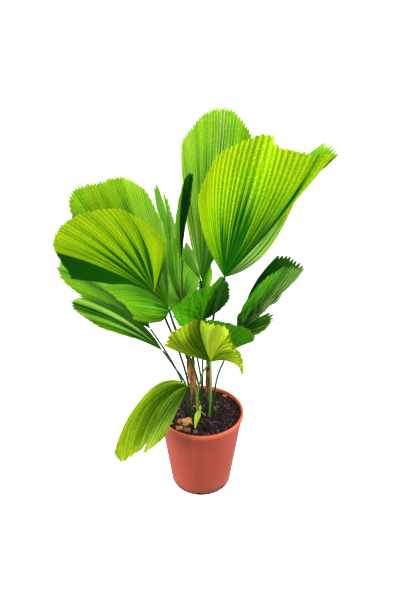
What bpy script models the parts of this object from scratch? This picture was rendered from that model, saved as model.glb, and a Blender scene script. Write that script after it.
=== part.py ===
"""Potted fan palm: a clump of pleated, round-leaved palm shoots in a plastic nursery pot.

Metres, +Z up. The origin is the centre of the pot's foot on the floor, and -Y is the front.
Places in the crown are given from the centre of the soil's surface, bearings in degrees
anticlockwise from +X seen from above, and rises in degrees above the horizontal.
"""

import math
from dataclasses import dataclass

import bmesh
import bpy
from mathutils import Matrix, Vector

# ---- driving dimensions ---------------------------------------------------------------

POT_HEIGHT = 0.210
RIM_RADIUS = 0.105
BASE_RADIUS = 0.075
WALL = 0.0022
LIP_HEIGHT = 0.011
LIP_PROUD = 0.0032
SOIL_DROP = 0.011
CROWN_HEIGHT = 0.710
LEAF_THICKNESS = 0.0010
STALK_RADIUS = 0.0021
THICK_TRUNK_RADIUS = 0.0078
SLIM_TRUNK_RADIUS = 0.0050

# ---- fixed details --------------------------------------------------------------------

GAP = 0.0003
SOCKET_CLEARANCE = 0.0005
ROOT_DEPTH = 0.022
FOOT_RECESS = 0.0025
FOOT_RING_WIDTH = 0.010
FOOT_PAD_RADIUS = 0.016
BASE_CHAMFER = 0.0025
LIP_EDGE = 0.0012
DRAIN_COUNT = 8
DRAIN_WIDTH = 0.014
DRAIN_REACH = 0.009
DRAIN_HEIGHT = 0.0062
TURNED_STEPS = 40

# The crown was drawn at this height, and is scaled to CROWN_HEIGHT.
DRAWN_CROWN_HEIGHT = 0.710
CROWN_SCALE = CROWN_HEIGHT / DRAWN_CROWN_HEIGHT

SOIL_TOP = POT_HEIGHT - SOIL_DROP
FLOOR_TOP = FOOT_RECESS + WALL
BODY_TOP = POT_HEIGHT - LIP_HEIGHT
BODY_TOP_RADIUS = RIM_RADIUS - LIP_PROUD
THICK_TRUNK_HEIGHT = 0.126 * CROWN_SCALE
SLIM_TRUNK_HEIGHT = 0.098 * CROWN_SCALE

STALK_TIP_SHARE = 0.72
STALK_POINTS = 8
STALK_LIFT = 0.003
BLADE_RIBS = 15
BLADE_RINGS = 4
BLADE_START = STALK_RADIUS * STALK_TIP_SHARE + LEAF_THICKNESS / 2 + 2 * GAP


@dataclass(frozen=True)
class Leaf:
    """One fan leaf: where its blade starts, the key ribs of its fan, and its stalk.

    ribs holds (bearing, rise, length) for ribs from one side of the fan to the other, and
    the margin is a smooth curve through their tips. flare is how far the middle of the first
    and the last rib bows outwards within the blade, and arch how far the middle of every rib
    stands off the blade, as shares of the rib's length. root is where the stalk stands, on the
    soil or, in shares of the top's radius, on its bearer's top. via holds the points it passes
    on its way up, and girth is its thickness against STALK_RADIUS.
    """

    name: str
    hub: tuple
    ribs: tuple
    flare: tuple
    arch: float
    root: tuple
    via: tuple
    girth: float = 1.0
    bearer: str = "soil"


LEAVES = (
    Leaf("tall_back", (0.002, 0.080, 0.326),
         ((-141, 78, 0.200), (-168, 81, 0.302), (180, 84, 0.345), (79, 87, 0.382), (29, 81, 0.395),
          (18, 75, 0.372), (19, 68, 0.323), (28, 57, 0.230)), (0.00, 0.05), 0.04,
         (0.62, 0.15), ((-0.009, 0.056, 0.210),), 1.0, "thick_trunk"),
    Leaf("front_right", (0.047, -0.090, 0.412),
         ((-170, 73, 0.185), (-116, 80, 0.262), (-64, 77, 0.296), (-45, 73, 0.309), (-36, 67, 0.304),
          (-21, 58, 0.315), (-6, 52, 0.327), (18, 53, 0.318), (35, 43, 0.262), (38, 31, 0.225)),
         (0.11, 0.25), 0.04,
         (0.44, -0.18), ((0.027, -0.020, 0.280),), 1.1, "slim_trunk"),
    Leaf("left_back", (-0.076, 0.030, 0.277),
         ((-171, 48, 0.292), (-172, 52, 0.332), (-174, 57, 0.350), (180, 64, 0.335), (171, 73, 0.323),
          (155, 80, 0.282), (126, 83, 0.212), (74, 81, 0.136)), (0.05, 0.04), 0.04,
         (-0.62, 0.10), ((-0.062, 0.034, 0.221),), 1.0, "thick_trunk"),
    Leaf("left_front", (-0.101, -0.060, 0.363),
         ((170, 6, 0.182), (-174, 25, 0.214), (-162, 36, 0.243), (-149, 48, 0.259), (-133, 58, 0.255),
          (-114, 65, 0.232), (-87, 68, 0.186), (-52, 69, 0.140)), (0.02, 0.10), 0.06,
         (-0.027, 0.058), ((-0.037, 0.049, 0.080), (-0.055, 0.010, 0.180), (-0.082, -0.030, 0.289))),
    Leaf("left_small", (-0.067, -0.100, 0.340),
         ((-159, 32, 0.163), (-146, 31, 0.146), (-137, 27, 0.122), (-138, 11, 0.092)), (0.13, 0.09), 0.05,
         (0.004, 0.030), ((-0.016, 0.004, 0.126), (-0.055, -0.062, 0.273)), 0.9),
    Leaf("left_low", (-0.119, 0.020, 0.229),
         ((165, 50, 0.239), (174, 43, 0.260), (-177, 38, 0.258), (-171, 36, 0.235), (-165, 34, 0.188)),
         (0.12, 0.02), 0.04,
         (-0.029, 0.004), ((-0.046, 0.004, 0.088), (-0.075, 0.010, 0.155)), 0.7),
    Leaf("left_lowest", (-0.087, -0.050, 0.212),
         ((175, 46, 0.162), (180, 39, 0.215), (-174, 35, 0.238), (-167, 34, 0.214), (-159, 33, 0.167),
          (-157, 35, 0.095)), (0.08, 0.02), 0.04,
         (-0.022, -0.010), ((-0.037, -0.020, 0.099), (-0.063, -0.036, 0.161)), 0.7),
    Leaf("back_narrow", (-0.039, 0.110, 0.306),
         ((-148, 71, 0.171), (-171, 73, 0.225), (171, 75, 0.252), (137, 74, 0.209), (113, 67, 0.141)),
         (0.05, 0.03), 0.04,
         (-0.20, 0.62), ((-0.031, 0.086, 0.212),), 1.0, "thick_trunk"),
    Leaf("centre_edge", (-0.043, 0.020, 0.405),
         ((-95, 57, 0.166), (-82, 73, 0.204), (-40, 81, 0.201), (28, 80, 0.125)), (0.04, 0.04), 0.03,
         (-0.30, -0.56), ((-0.043, 0.022, 0.304),), 0.9, "thick_trunk"),
    Leaf("centre_back", (-0.046, 0.050, 0.285),
         ((-147, 65, 0.127), (-162, 79, 0.160), (143, 84, 0.152), (63, 74, 0.124), (36, 48, 0.075)),
         (0.08, 0.05), 0.03,
         (0.006, 0.062), ((-0.009, 0.060, 0.119),), 0.9),
    Leaf("centre_narrow", (-0.002, 0.040, 0.349),
         ((-127, 45, 0.089), (-130, 65, 0.122), (-123, 75, 0.118)), (0.06, 0.03), 0.02,
         (0.36, -0.51), ((-0.010, 0.036, 0.230),), 0.8, "thick_trunk"),
    Leaf("centre_far", (0.004, 0.100, 0.287),
         ((90, 72, 0.097), (50, 70, 0.075), (0, 64, 0.053), (-47, 46, 0.039)), (0.03, 0.03), 0.03,
         (-0.40, 0.33), ((0.012, 0.080, 0.192),), 0.8, "slim_trunk"),
    Leaf("centre_cup", (-0.001, -0.010, 0.262),
         ((-136, 15, 0.075), (-142, 36, 0.101), (-139, 51, 0.096), (-114, 71, 0.101), (-46, 75, 0.106),
          (12, 67, 0.123), (38, 41, 0.109), (42, 18, 0.093), (44, 7, 0.060)), (0.05, 0.05), 0.06,
         (0.004, 0.014), ((0.003, 0.004, 0.150),), 0.8),
    Leaf("right_tall", (0.092, 0.030, 0.218),
         ((35, 59, 0.200), (24, 54, 0.211), (4, 49, 0.214), (-23, 61, 0.207), (-49, 65, 0.190),
          (-76, 64, 0.141)), (0.10, 0.18), 0.04,
         (0.029, -0.004), ((0.035, 0.002, 0.083), (0.050, 0.010, 0.136)), 0.9),
    Leaf("right_low", (0.016, -0.030, 0.164),
         ((-144, 74, 0.127), (-100, 77, 0.139), (-56, 71, 0.146), (-30, 57, 0.148), (-16, 42, 0.143),
          (-6, 34, 0.125)), (0.10, 0.02), 0.04,
         (-0.010, 0.016), ((-0.007, 0.008, 0.062), (0.003, -0.010, 0.124)), 0.8),
    Leaf("front_small", (0.021, -0.080, 0.202),
         ((-154, 32, 0.134), (-144, 47, 0.148), (-135, 60, 0.143), (-105, 68, 0.139), (-67, 66, 0.131),
          (-65, 48, 0.133), (-54, 34, 0.119), (-46, 10, 0.100)), (0.08, -0.09), 0.07,
         (0.020, -0.014), ((0.023, -0.040, 0.106),), 1.2),
    Leaf("drooping", (-0.030, -0.040, 0.109),
         ((-144, -20, 0.202), (-144, -27, 0.228), (-140, -35, 0.229), (-135, -31, 0.189),
          (-131, -35, 0.188), (-125, -35, 0.157), (-117, -30, 0.130)), (0.34, 0.12), 0.06,
         (-0.010, 0.003), ((-0.012, -0.002, 0.058), (-0.019, -0.018, 0.091)), 0.8),
)

# The loose segment beside the tall right-hand blade shares that leaf's stalk.
SPLIT_SEGMENT_OF = "right_tall"
SPLIT_SEGMENT_RIBS = ((16, 30, 0.085), (7, 22, 0.087), (-8, 17, 0.075), (-35, 7, 0.052))
SPLIT_SEGMENT_FLARE = (0.05, 0.10)
SPLIT_SEGMENT_START = 0.012


@dataclass(frozen=True)
class Trunk:
    """A short fibrous stem: its base and top on the ground plan, its height and radius."""

    name: str
    base: tuple
    lean: tuple
    height: float
    radius: float
    top_flare: float


TRUNKS = {
    "thick_trunk": Trunk("thick_trunk", (-0.018, 0.041), (-0.0085, 0.0), THICK_TRUNK_HEIGHT,
                         THICK_TRUNK_RADIUS, 1.25),
    "slim_trunk": Trunk("slim_trunk", (0.017, 0.049), (0.0, 0.0), SLIM_TRUNK_HEIGHT,
                        SLIM_TRUNK_RADIUS, 1.10),
}

# Loose chips of bark on the soil: (place), (length, width, height), turn in degrees. Places
# and sizes are shares of the soil's radius.
BARK_CHIPS = (
    ((-0.34, -0.44), (0.19, 0.13, 0.12), 15),
    ((-0.51, -0.41), (0.09, 0.08, 0.09), 60),
    ((-0.53, -0.64), (0.16, 0.09, 0.06), 10),
    ((-0.34, -0.69), (0.14, 0.10, 0.05), -15),
    ((-0.14, -0.77), (0.10, 0.06, 0.05), 30),
    ((0.61, 0.68), (0.10, 0.07, 0.05), -20),
)
CHIP_BEVEL = 0.0010

SEEDLING_ROOT = (0.011, -0.016)
SEEDLING_STEM = ((0.011, -0.016, 0.002), (0.004, -0.013, 0.011), (-0.003, -0.010, 0.016))
SEEDLING_RADIUS = 0.0011
SEEDLING_LEAF = ((-0.0055, -0.0125, 0.017), (-0.0150, -0.0640, 0.005), 0.008)
SEEDLING_SHOOT = ((-0.0030, -0.0075, 0.0175), (-0.0020, -0.0020, 0.027), 0.003)

# Colour (linear), roughness, metallic.
POT_FINISH = ((0.47, 0.085, 0.045), 0.42, 0.0)
SOIL_FINISH = ((0.030, 0.016, 0.010), 0.95, 0.0)
TRUNK_FINISH = ((0.16, 0.075, 0.025), 0.9, 0.0)
STALK_FINISH = ((0.035, 0.13, 0.015), 0.45, 0.0)
LEAF_FINISH = ((0.13, 0.42, 0.010), 0.45, 0.0)
YOUNG_LEAF_FINISH = ((0.38, 0.58, 0.012), 0.5, 0.0)
CHIP_FINISH = ((0.55, 0.30, 0.075), 0.85, 0.0)


def clear_scene():
    """Take every object of the start-up scene away."""
    for obj in list(bpy.data.objects):
        bpy.data.objects.remove(obj, do_unlink=True)


def new_collection(name):
    """Make a collection in the scene."""
    collection = bpy.data.collections.new(name)
    bpy.context.scene.collection.children.link(collection)
    return collection


def make_finish(name, finish):
    """Make a Principled material from a (colour, roughness, metallic) finish."""
    colour, roughness, metallic = finish
    material = bpy.data.materials.new(name)
    material.use_nodes = True
    shader = material.node_tree.nodes["Principled BSDF"]
    shader.inputs["Base Color"].default_value = (*colour, 1.0)
    shader.inputs["Roughness"].default_value = roughness
    shader.inputs["Metallic"].default_value = metallic
    material.diffuse_color = (*colour, 1.0)
    return material


def place(name, data, material, collection):
    """Make an object of the data, give it its own copy of the finish, and link it."""
    obj = bpy.data.objects.new(name, data)
    own = material.copy()
    own.name = name
    data.materials.append(own)
    collection.objects.link(obj)
    return obj


def crown_point(point):
    """Where a point given from the soil's centre stands in the part."""
    return Vector(point) * CROWN_SCALE + Vector((0.0, 0.0, SOIL_TOP))


def rooted(place_on_soil):
    """Where something that grows from the soil stands on the ground plan."""
    return tuple(value * CROWN_SCALE for value in place_on_soil)


# ---- pot and soil ---------------------------------------------------------------------


def body_radius(height):
    """The pot body's outer radius at a height."""
    return BASE_RADIUS + (BODY_TOP_RADIUS - BASE_RADIUS) * height / BODY_TOP


def inner_radius(height):
    """The pot's inner radius at a height."""
    return body_radius(height) - WALL


def soil_radius():
    """The radius of the soil's surface."""
    return inner_radius(min(SOIL_TOP, BODY_TOP)) - GAP


def turned(name, profile, material, collection):
    """Turn a profile of (radius, height) points, given down the outer side, about Z."""
    mesh = bpy.data.meshes.new(name)
    bm = bmesh.new()
    verts = [bm.verts.new((radius, 0.0, height)) for radius, height in profile]
    for upper, lower in zip(verts, verts[1:]):
        bm.edges.new((upper, lower))
    bm.to_mesh(mesh)
    bm.free()
    obj = place(name, mesh, material, collection)
    screw = obj.modifiers.new("turn", "SCREW")
    screw.steps = screw.render_steps = TURNED_STEPS
    screw.use_merge_vertices = True
    screw.merge_threshold = 0.00001
    screw.use_smooth_shade = True
    return obj


def cut(obj, cutter):
    """Take the cutter's shape out of an object."""
    boolean = obj.modifiers.new("cut_" + cutter.name, "BOOLEAN")
    boolean.operation = "DIFFERENCE"
    boolean.object = cutter


def hide_cutter(obj):
    """Keep a cutter out of the model."""
    obj.hide_render = True
    obj.display_type = "WIRE"


def drain_cutter(collection):
    """The blocks that open drain slots through the pot's bottom corner."""
    mesh = bpy.data.meshes.new("drain_slots")
    bm = bmesh.new()
    for index in range(DRAIN_COUNT):
        turn = Matrix.Rotation(math.tau * index / DRAIN_COUNT - math.pi / 2, 4, "Z")
        middle = Matrix.Translation((BASE_RADIUS - DRAIN_REACH / 2 + WALL, 0.0, 0.0))
        size = Matrix.Diagonal((DRAIN_REACH, DRAIN_WIDTH, 2 * DRAIN_HEIGHT, 1.0))
        bmesh.ops.create_cube(bm, size=1.0, matrix=turn @ middle @ size)
    bm.to_mesh(mesh)
    bm.free()
    obj = bpy.data.objects.new("drain_slots", mesh)
    collection.objects.link(obj)
    hide_cutter(obj)
    return obj


def build_pot(collection, cutters):
    """The tapered pot: body, rolled lip, foot ring, centre pad and drain slots."""
    inner_top = inner_radius(BODY_TOP)
    ring_inside = BASE_RADIUS - BASE_CHAMFER - FOOT_RING_WIDTH
    profile = [
        (0.0, FLOOR_TOP),
        (inner_radius(FLOOR_TOP), FLOOR_TOP),
        (inner_radius(POT_HEIGHT / 2), POT_HEIGHT / 2),
        (inner_top, BODY_TOP),
        (inner_top, POT_HEIGHT - LIP_EDGE),
        (inner_top + LIP_EDGE, POT_HEIGHT),
        (RIM_RADIUS - LIP_EDGE, POT_HEIGHT),
        (RIM_RADIUS, POT_HEIGHT - LIP_EDGE),
        (RIM_RADIUS, BODY_TOP + LIP_EDGE),
        (RIM_RADIUS - LIP_EDGE, BODY_TOP),
        (BODY_TOP_RADIUS, BODY_TOP),
        (body_radius(POT_HEIGHT / 2), POT_HEIGHT / 2),
        (body_radius(BASE_CHAMFER), BASE_CHAMFER),
        (BASE_RADIUS - BASE_CHAMFER, 0.0),
        (ring_inside, 0.0),
        (ring_inside - FOOT_RECESS, FOOT_RECESS),
        (FOOT_PAD_RADIUS + FOOT_RECESS, FOOT_RECESS),
        (FOOT_PAD_RADIUS, 0.0),
        (0.0, 0.0),
    ]
    pot = turned("pot", profile, make_finish("pot_plastic", POT_FINISH), collection)
    cut(pot, drain_cutter(cutters))
    return pot


def sockets_cutter(roots, collection):
    """The upright holes in the soil that the stems and stalks stand in."""
    mesh = bpy.data.meshes.new("root_sockets")
    bm = bmesh.new()
    for (x, y), radius in roots:
        depth = ROOT_DEPTH + GAP
        where = Matrix.Translation((x, y, SOIL_TOP))
        bmesh.ops.create_cone(bm, cap_ends=True, segments=10, radius1=radius + SOCKET_CLEARANCE,
                              radius2=radius + SOCKET_CLEARANCE, depth=2 * depth, matrix=where)
    bm.to_mesh(mesh)
    bm.free()
    obj = bpy.data.objects.new("root_sockets", mesh)
    collection.objects.link(obj)
    hide_cutter(obj)
    return obj


def build_soil(roots, collection, cutters):
    """The soil that fills the pot, with a socket for every stem that stands in it."""
    profile = [
        (0.0, SOIL_TOP),
        (soil_radius(), SOIL_TOP),
        (inner_radius(FLOOR_TOP) - GAP, FLOOR_TOP + GAP),
        (0.0, FLOOR_TOP + GAP),
    ]
    soil = turned("soil", profile, make_finish("soil", SOIL_FINISH), collection)
    cut(soil, sockets_cutter(roots, cutters))
    return soil


# ---- stems and stalks -----------------------------------------------------------------


def smooth_path(points, count):
    """Points along a Catmull-Rom curve through the given points."""
    ends = [2 * points[0] - points[1], *points, 2 * points[-1] - points[-2]]
    spans = len(points) - 1
    path = []
    for index in range(count):
        place_on_path = spans * index / (count - 1)
        span = min(int(place_on_path), spans - 1)
        t = place_on_path - span
        a, b, c, d = ends[span:span + 4]
        path.append(0.5 * (2 * b + (c - a) * t + (2 * a - 5 * b + 4 * c - d) * t ** 2
                           + (3 * b - a - 3 * c + d) * t ** 3))
    return path


def rod(name, points, radii, material, collection, resolution=1):
    """A round rod along the points, with a radius at each of them."""
    curve = bpy.data.curves.new(name, "CURVE")
    curve.dimensions = "3D"
    curve.bevel_depth = 1.0
    curve.bevel_resolution = resolution
    curve.use_fill_caps = True
    spline = curve.splines.new("POLY")
    spline.points.add(len(points) - 1)
    for spot, point, radius in zip(spline.points, points, radii):
        spot.co = (*point, 1.0)
        spot.radius = radius
    return place(name, curve, material, collection)


def build_trunk(trunk, collection, material):
    """A short fibrous stem that stands in the soil and widens to the foot of its stalks."""
    x, y = rooted(trunk.base)
    foot = [Vector((x, y, SOIL_TOP - ROOT_DEPTH)), Vector((x, y, SOIL_TOP + GAP))]
    top = trunk_top(trunk)
    bend = Vector((x, y, SOIL_TOP + trunk.height * 0.35))
    below_top = top - Vector((0.0, 0.0, trunk.height * 0.15))
    shares = (1.0, 1.0, 0.92, 1.05 * trunk.top_flare ** 0.5, trunk.top_flare)
    radii = [trunk.radius * share for share in shares]
    return rod(trunk.name, [*foot, bend, below_top, top], radii, material, collection, resolution=2)


def trunk_top(trunk):
    """The middle of a trunk's top face."""
    x, y = rooted((trunk.base[0] + trunk.lean[0], trunk.base[1] + trunk.lean[1]))
    return Vector((x, y, SOIL_TOP + trunk.height))


def stalk_radius(leaf):
    """The radius of a leaf's stalk where it starts."""
    return STALK_RADIUS * leaf.girth


def stalk_foot(leaf):
    """The upright first stretch of a stalk, in the soil or on the top of its trunk."""
    if leaf.bearer == "soil":
        x, y = rooted(leaf.root)
        return [Vector((x, y, SOIL_TOP - ROOT_DEPTH)), Vector((x, y, SOIL_TOP + GAP))]
    trunk = TRUNKS[leaf.bearer]
    reach = trunk.radius * trunk.top_flare
    start = trunk_top(trunk) + Vector((leaf.root[0] * reach, leaf.root[1] * reach, GAP))
    return [start, start + Vector((0.0, 0.0, STALK_LIFT))]


def build_stalk(leaf, collection, material):
    """The stalk that carries a leaf's blade."""
    foot = stalk_foot(leaf)
    points = [foot[1], *(crown_point(point) for point in leaf.via), crown_point(leaf.hub)]
    path = [foot[0], *smooth_path(points, STALK_POINTS)]
    start = stalk_radius(leaf)
    end = min(start, STALK_RADIUS) * STALK_TIP_SHARE
    radii = [start + (end - start) * index / (len(path) - 1) for index in range(len(path))]
    return rod("stalk_" + leaf.name, path, radii, material, collection)


# ---- blades ---------------------------------------------------------------------------


def rib_vector(bearing, rise, length):
    """A rib from its hub to its tip."""
    flat = math.cos(math.radians(rise))
    return CROWN_SCALE * length * Vector((flat * math.cos(math.radians(bearing)),
                                          flat * math.sin(math.radians(bearing)),
                                          math.sin(math.radians(rise))))


def build_blade(name, hub, ribs, flare, arch, start, collection, material):
    """A fan blade: ribs from the hub to a smooth margin, thickened from an open sheet."""
    tips = smooth_path([rib_vector(*rib) for rib in ribs], BLADE_RIBS)
    mesh = bpy.data.meshes.new(name)
    bm = bmesh.new()
    bmesh.ops.create_grid(bm, x_segments=BLADE_RIBS - 1, y_segments=BLADE_RINGS, size=0.5)
    for vert in bm.verts:
        rib = round((vert.co.x + 0.5) * (BLADE_RIBS - 1))
        share = vert.co.y + 0.5
        tip = tips[rib]
        along = tips[min(rib + 1, BLADE_RIBS - 1)] - tips[max(rib - 1, 0)]
        off = tip.cross(along).normalized()
        aside = off.cross(tip).normalized()
        fan_share = rib / (BLADE_RIBS - 1)
        sideways = flare[1] * fan_share - flare[0] * (1 - fan_share)
        reach = start + (tip.length - start) * share
        bow = tip.length * 4 * share * (1 - share)
        vert.co = hub + tip.normalized() * reach + (off * arch + aside * sideways) * bow
    bm.to_mesh(mesh)
    bm.free()
    obj = place(name, mesh, material, collection)
    skin = obj.modifiers.new("thickness", "SOLIDIFY")
    skin.thickness = LEAF_THICKNESS
    skin.offset = 0.0
    return obj


def build_leaves(collection):
    """Every leaf's blade and stalk, and the loose segment of the split one."""
    green = make_finish("leaf_green", LEAF_FINISH)
    young = make_finish("leaf_young", YOUNG_LEAF_FINISH)
    stalk_green = make_finish("stalk_green", STALK_FINISH)
    for leaf in LEAVES:
        hub = crown_point(leaf.hub)
        finish = young if leaf.name == "front_small" else green
        build_blade("leaf_" + leaf.name, hub, leaf.ribs, leaf.flare, leaf.arch, BLADE_START,
                    collection, finish)
        build_stalk(leaf, collection, stalk_green)
        if leaf.name == SPLIT_SEGMENT_OF:
            build_blade("leaf_right_segment", hub, SPLIT_SEGMENT_RIBS, SPLIT_SEGMENT_FLARE,
                        leaf.arch, SPLIT_SEGMENT_START, collection, green)


# ---- small things on the soil ---------------------------------------------------------


def build_small_leaf(name, base, tip, half_width, collection, material):
    """A small oval leaf from its base to its tip, slightly folded along its middle."""
    base, tip = crown_point(base), crown_point(tip)
    axis = tip - base
    side = axis.cross(Vector((0.0, 0.0, 1.0))).normalized()
    up = side.cross(axis).normalized()
    mesh = bpy.data.meshes.new(name)
    bm = bmesh.new()
    bmesh.ops.create_grid(bm, x_segments=4, y_segments=6, size=0.5)
    for vert in bm.verts:
        across, share = 2 * vert.co.x, vert.co.y + 0.5
        width = half_width * (0.12 + 0.88 * math.sin(math.pi * share ** 0.8))
        fold = 0.3 * width * abs(across)
        bow = 0.08 * axis.length * math.sin(math.pi * share)
        vert.co = base + axis * share + side * (width * across) + up * (fold + bow)
    bm.to_mesh(mesh)
    bm.free()
    obj = place(name, mesh, material, collection)
    skin = obj.modifiers.new("thickness", "SOLIDIFY")
    skin.thickness = LEAF_THICKNESS * 0.8
    skin.offset = 0.0
    return obj


def build_seedling(collection):
    """The small seedling in front of the clump: a bent stem, a leaf and a shoot."""
    young = make_finish("seedling_green", YOUNG_LEAF_FINISH)
    x, y = rooted(SEEDLING_ROOT)
    foot = Vector((x, y, SOIL_TOP - ROOT_DEPTH / 2))
    path = [foot, *smooth_path([crown_point(point) for point in SEEDLING_STEM], 5)]
    path[1] = Vector((x, y, path[1].z))
    rod("seedling_stem", path, [SEEDLING_RADIUS] * len(path), young, collection)
    build_small_leaf("seedling_leaf", *SEEDLING_LEAF, collection, young)
    build_small_leaf("seedling_shoot", *SEEDLING_SHOOT, collection, young)


def build_chips(collection):
    """Loose chips of bark lying on the soil."""
    bark = make_finish("bark", CHIP_FINISH)
    reach = soil_radius()
    for number, (place_share, size_share, turn) in enumerate(BARK_CHIPS, start=1):
        x, y = (share * reach for share in place_share)
        size = [share * reach for share in size_share]
        name = f"bark_chip_{number}"
        mesh = bpy.data.meshes.new(name)
        bm = bmesh.new()
        bmesh.ops.create_cube(bm, size=1.0, matrix=Matrix.Diagonal((*size, 1.0)))
        for vert in bm.verts:
            if vert.co.z > 0:
                vert.co.x *= 0.8
                vert.co.y *= 0.85
        bmesh.ops.rotate(bm, verts=bm.verts, matrix=Matrix.Rotation(math.radians(turn), 3, "Z"))
        bm.to_mesh(mesh)
        bm.free()
        obj = place(name, mesh, bark, collection)
        obj.location = (x, y, SOIL_TOP + GAP + size[2] / 2)
        bevel = obj.modifiers.new("worn_edges", "BEVEL")
        bevel.width = CHIP_BEVEL
        bevel.segments = 1


def main():
    """Build the pot, the soil, the stems, the leaves and what lies on the soil."""
    clear_scene()
    parts = new_collection("potted_fan_palm")
    cutters = new_collection("cutters")
    build_pot(parts, cutters)
    roots = [(rooted(trunk.base), trunk.radius) for trunk in TRUNKS.values()]
    roots += [(rooted(leaf.root), stalk_radius(leaf)) for leaf in LEAVES if leaf.bearer == "soil"]
    roots.append((rooted(SEEDLING_ROOT), SEEDLING_RADIUS))
    build_soil(roots, parts, cutters)
    fibre = make_finish("trunk_fibre", TRUNK_FINISH)
    for trunk in TRUNKS.values():
        build_trunk(trunk, parts, fibre)
    build_leaves(parts)
    build_seedling(parts)
    build_chips(parts)


main()
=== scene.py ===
"""Potted fan palm: the looks of a clump of pleated, round-leaved palm shoots in a nursery pot.

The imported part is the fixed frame: metres, +Z up, the pot's foot centred on the floor at the
origin and the front towards -Y. Every leaf blade is a pleated, toothed fan laid over its plain
CAD blade; the stalks, trunks, pot and loose things stand in for their CAD nodes as well.
"""

import logging
import math
from collections.abc import Callable, Iterable, Sequence
from dataclasses import dataclass
from enum import Enum
from typing import Any

import bpy
import numpy as np
from mathutils import Euler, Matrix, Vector, noise


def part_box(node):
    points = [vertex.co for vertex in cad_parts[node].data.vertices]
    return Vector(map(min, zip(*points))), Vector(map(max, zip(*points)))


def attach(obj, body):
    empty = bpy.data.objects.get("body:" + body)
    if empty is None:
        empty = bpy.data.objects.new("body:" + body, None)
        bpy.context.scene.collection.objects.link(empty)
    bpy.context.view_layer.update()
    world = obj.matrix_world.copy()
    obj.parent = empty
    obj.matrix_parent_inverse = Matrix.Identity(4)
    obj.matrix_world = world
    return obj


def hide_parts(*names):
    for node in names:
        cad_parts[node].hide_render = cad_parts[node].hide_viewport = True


LOG = logging.getLogger("fan_palm")

Point = tuple[float, float, float]
Colour = tuple[float, float, float]

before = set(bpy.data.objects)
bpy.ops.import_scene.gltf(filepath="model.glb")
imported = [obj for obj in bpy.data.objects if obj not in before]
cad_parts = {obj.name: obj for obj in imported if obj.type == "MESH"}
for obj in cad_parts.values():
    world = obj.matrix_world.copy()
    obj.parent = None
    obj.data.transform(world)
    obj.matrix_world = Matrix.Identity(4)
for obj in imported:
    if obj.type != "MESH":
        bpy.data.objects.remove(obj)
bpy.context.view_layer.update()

SOIL_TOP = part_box("soil")[1].z
POT_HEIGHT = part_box("pot")[1].z
RIM_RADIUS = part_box("pot")[1].x
CROWN = np.array((0.0, 0.0, SOIL_TOP))
GAP = 0.0003
SEED = 41


# ---- shader expressions ---------------------------------------------------------------


class Value:
    """A shader socket that takes part in arithmetic, adding Math nodes as it goes."""

    def __init__(self, shader: "Shader", socket: bpy.types.NodeSocket) -> None:
        """Wrap a socket.

        Args:
            shader: the material that the socket belongs to.
            socket: an output socket with one number.
        """
        self.shader = shader
        self.socket = socket

    def math(self, operation: str, *others: "Value | float") -> "Value":
        """Add a Math node.

        Args:
            operation: the Math node's operation.
            others: its second and third inputs, if it has them.

        Returns:
            The node's result.
        """
        inputs = dict(enumerate((self, *others)))
        return self.shader.node("ShaderNodeMath", {"operation": operation}, inputs)

    def __add__(self, other: "Value | float") -> "Value":
        """Sum."""
        return self.math("ADD", other)

    def __sub__(self, other: "Value | float") -> "Value":
        """Difference."""
        return self.math("SUBTRACT", other)

    def __rsub__(self, other: float) -> "Value":
        """Difference from a number."""
        return (self * -1.0).math("ADD", other)

    def __mul__(self, other: "Value | float") -> "Value":
        """Product."""
        return self.math("MULTIPLY", other)

    __radd__ = __add__
    __rmul__ = __mul__

    def between(self, low: float, high: float) -> "Value":
        """Rescale so that low gives 0 and high gives 1, held within those."""
        inputs = {"Value": self, "From Min": low, "From Max": high}
        return self.shader.node("ShaderNodeMapRange", {"clamp": True}, inputs)


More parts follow.
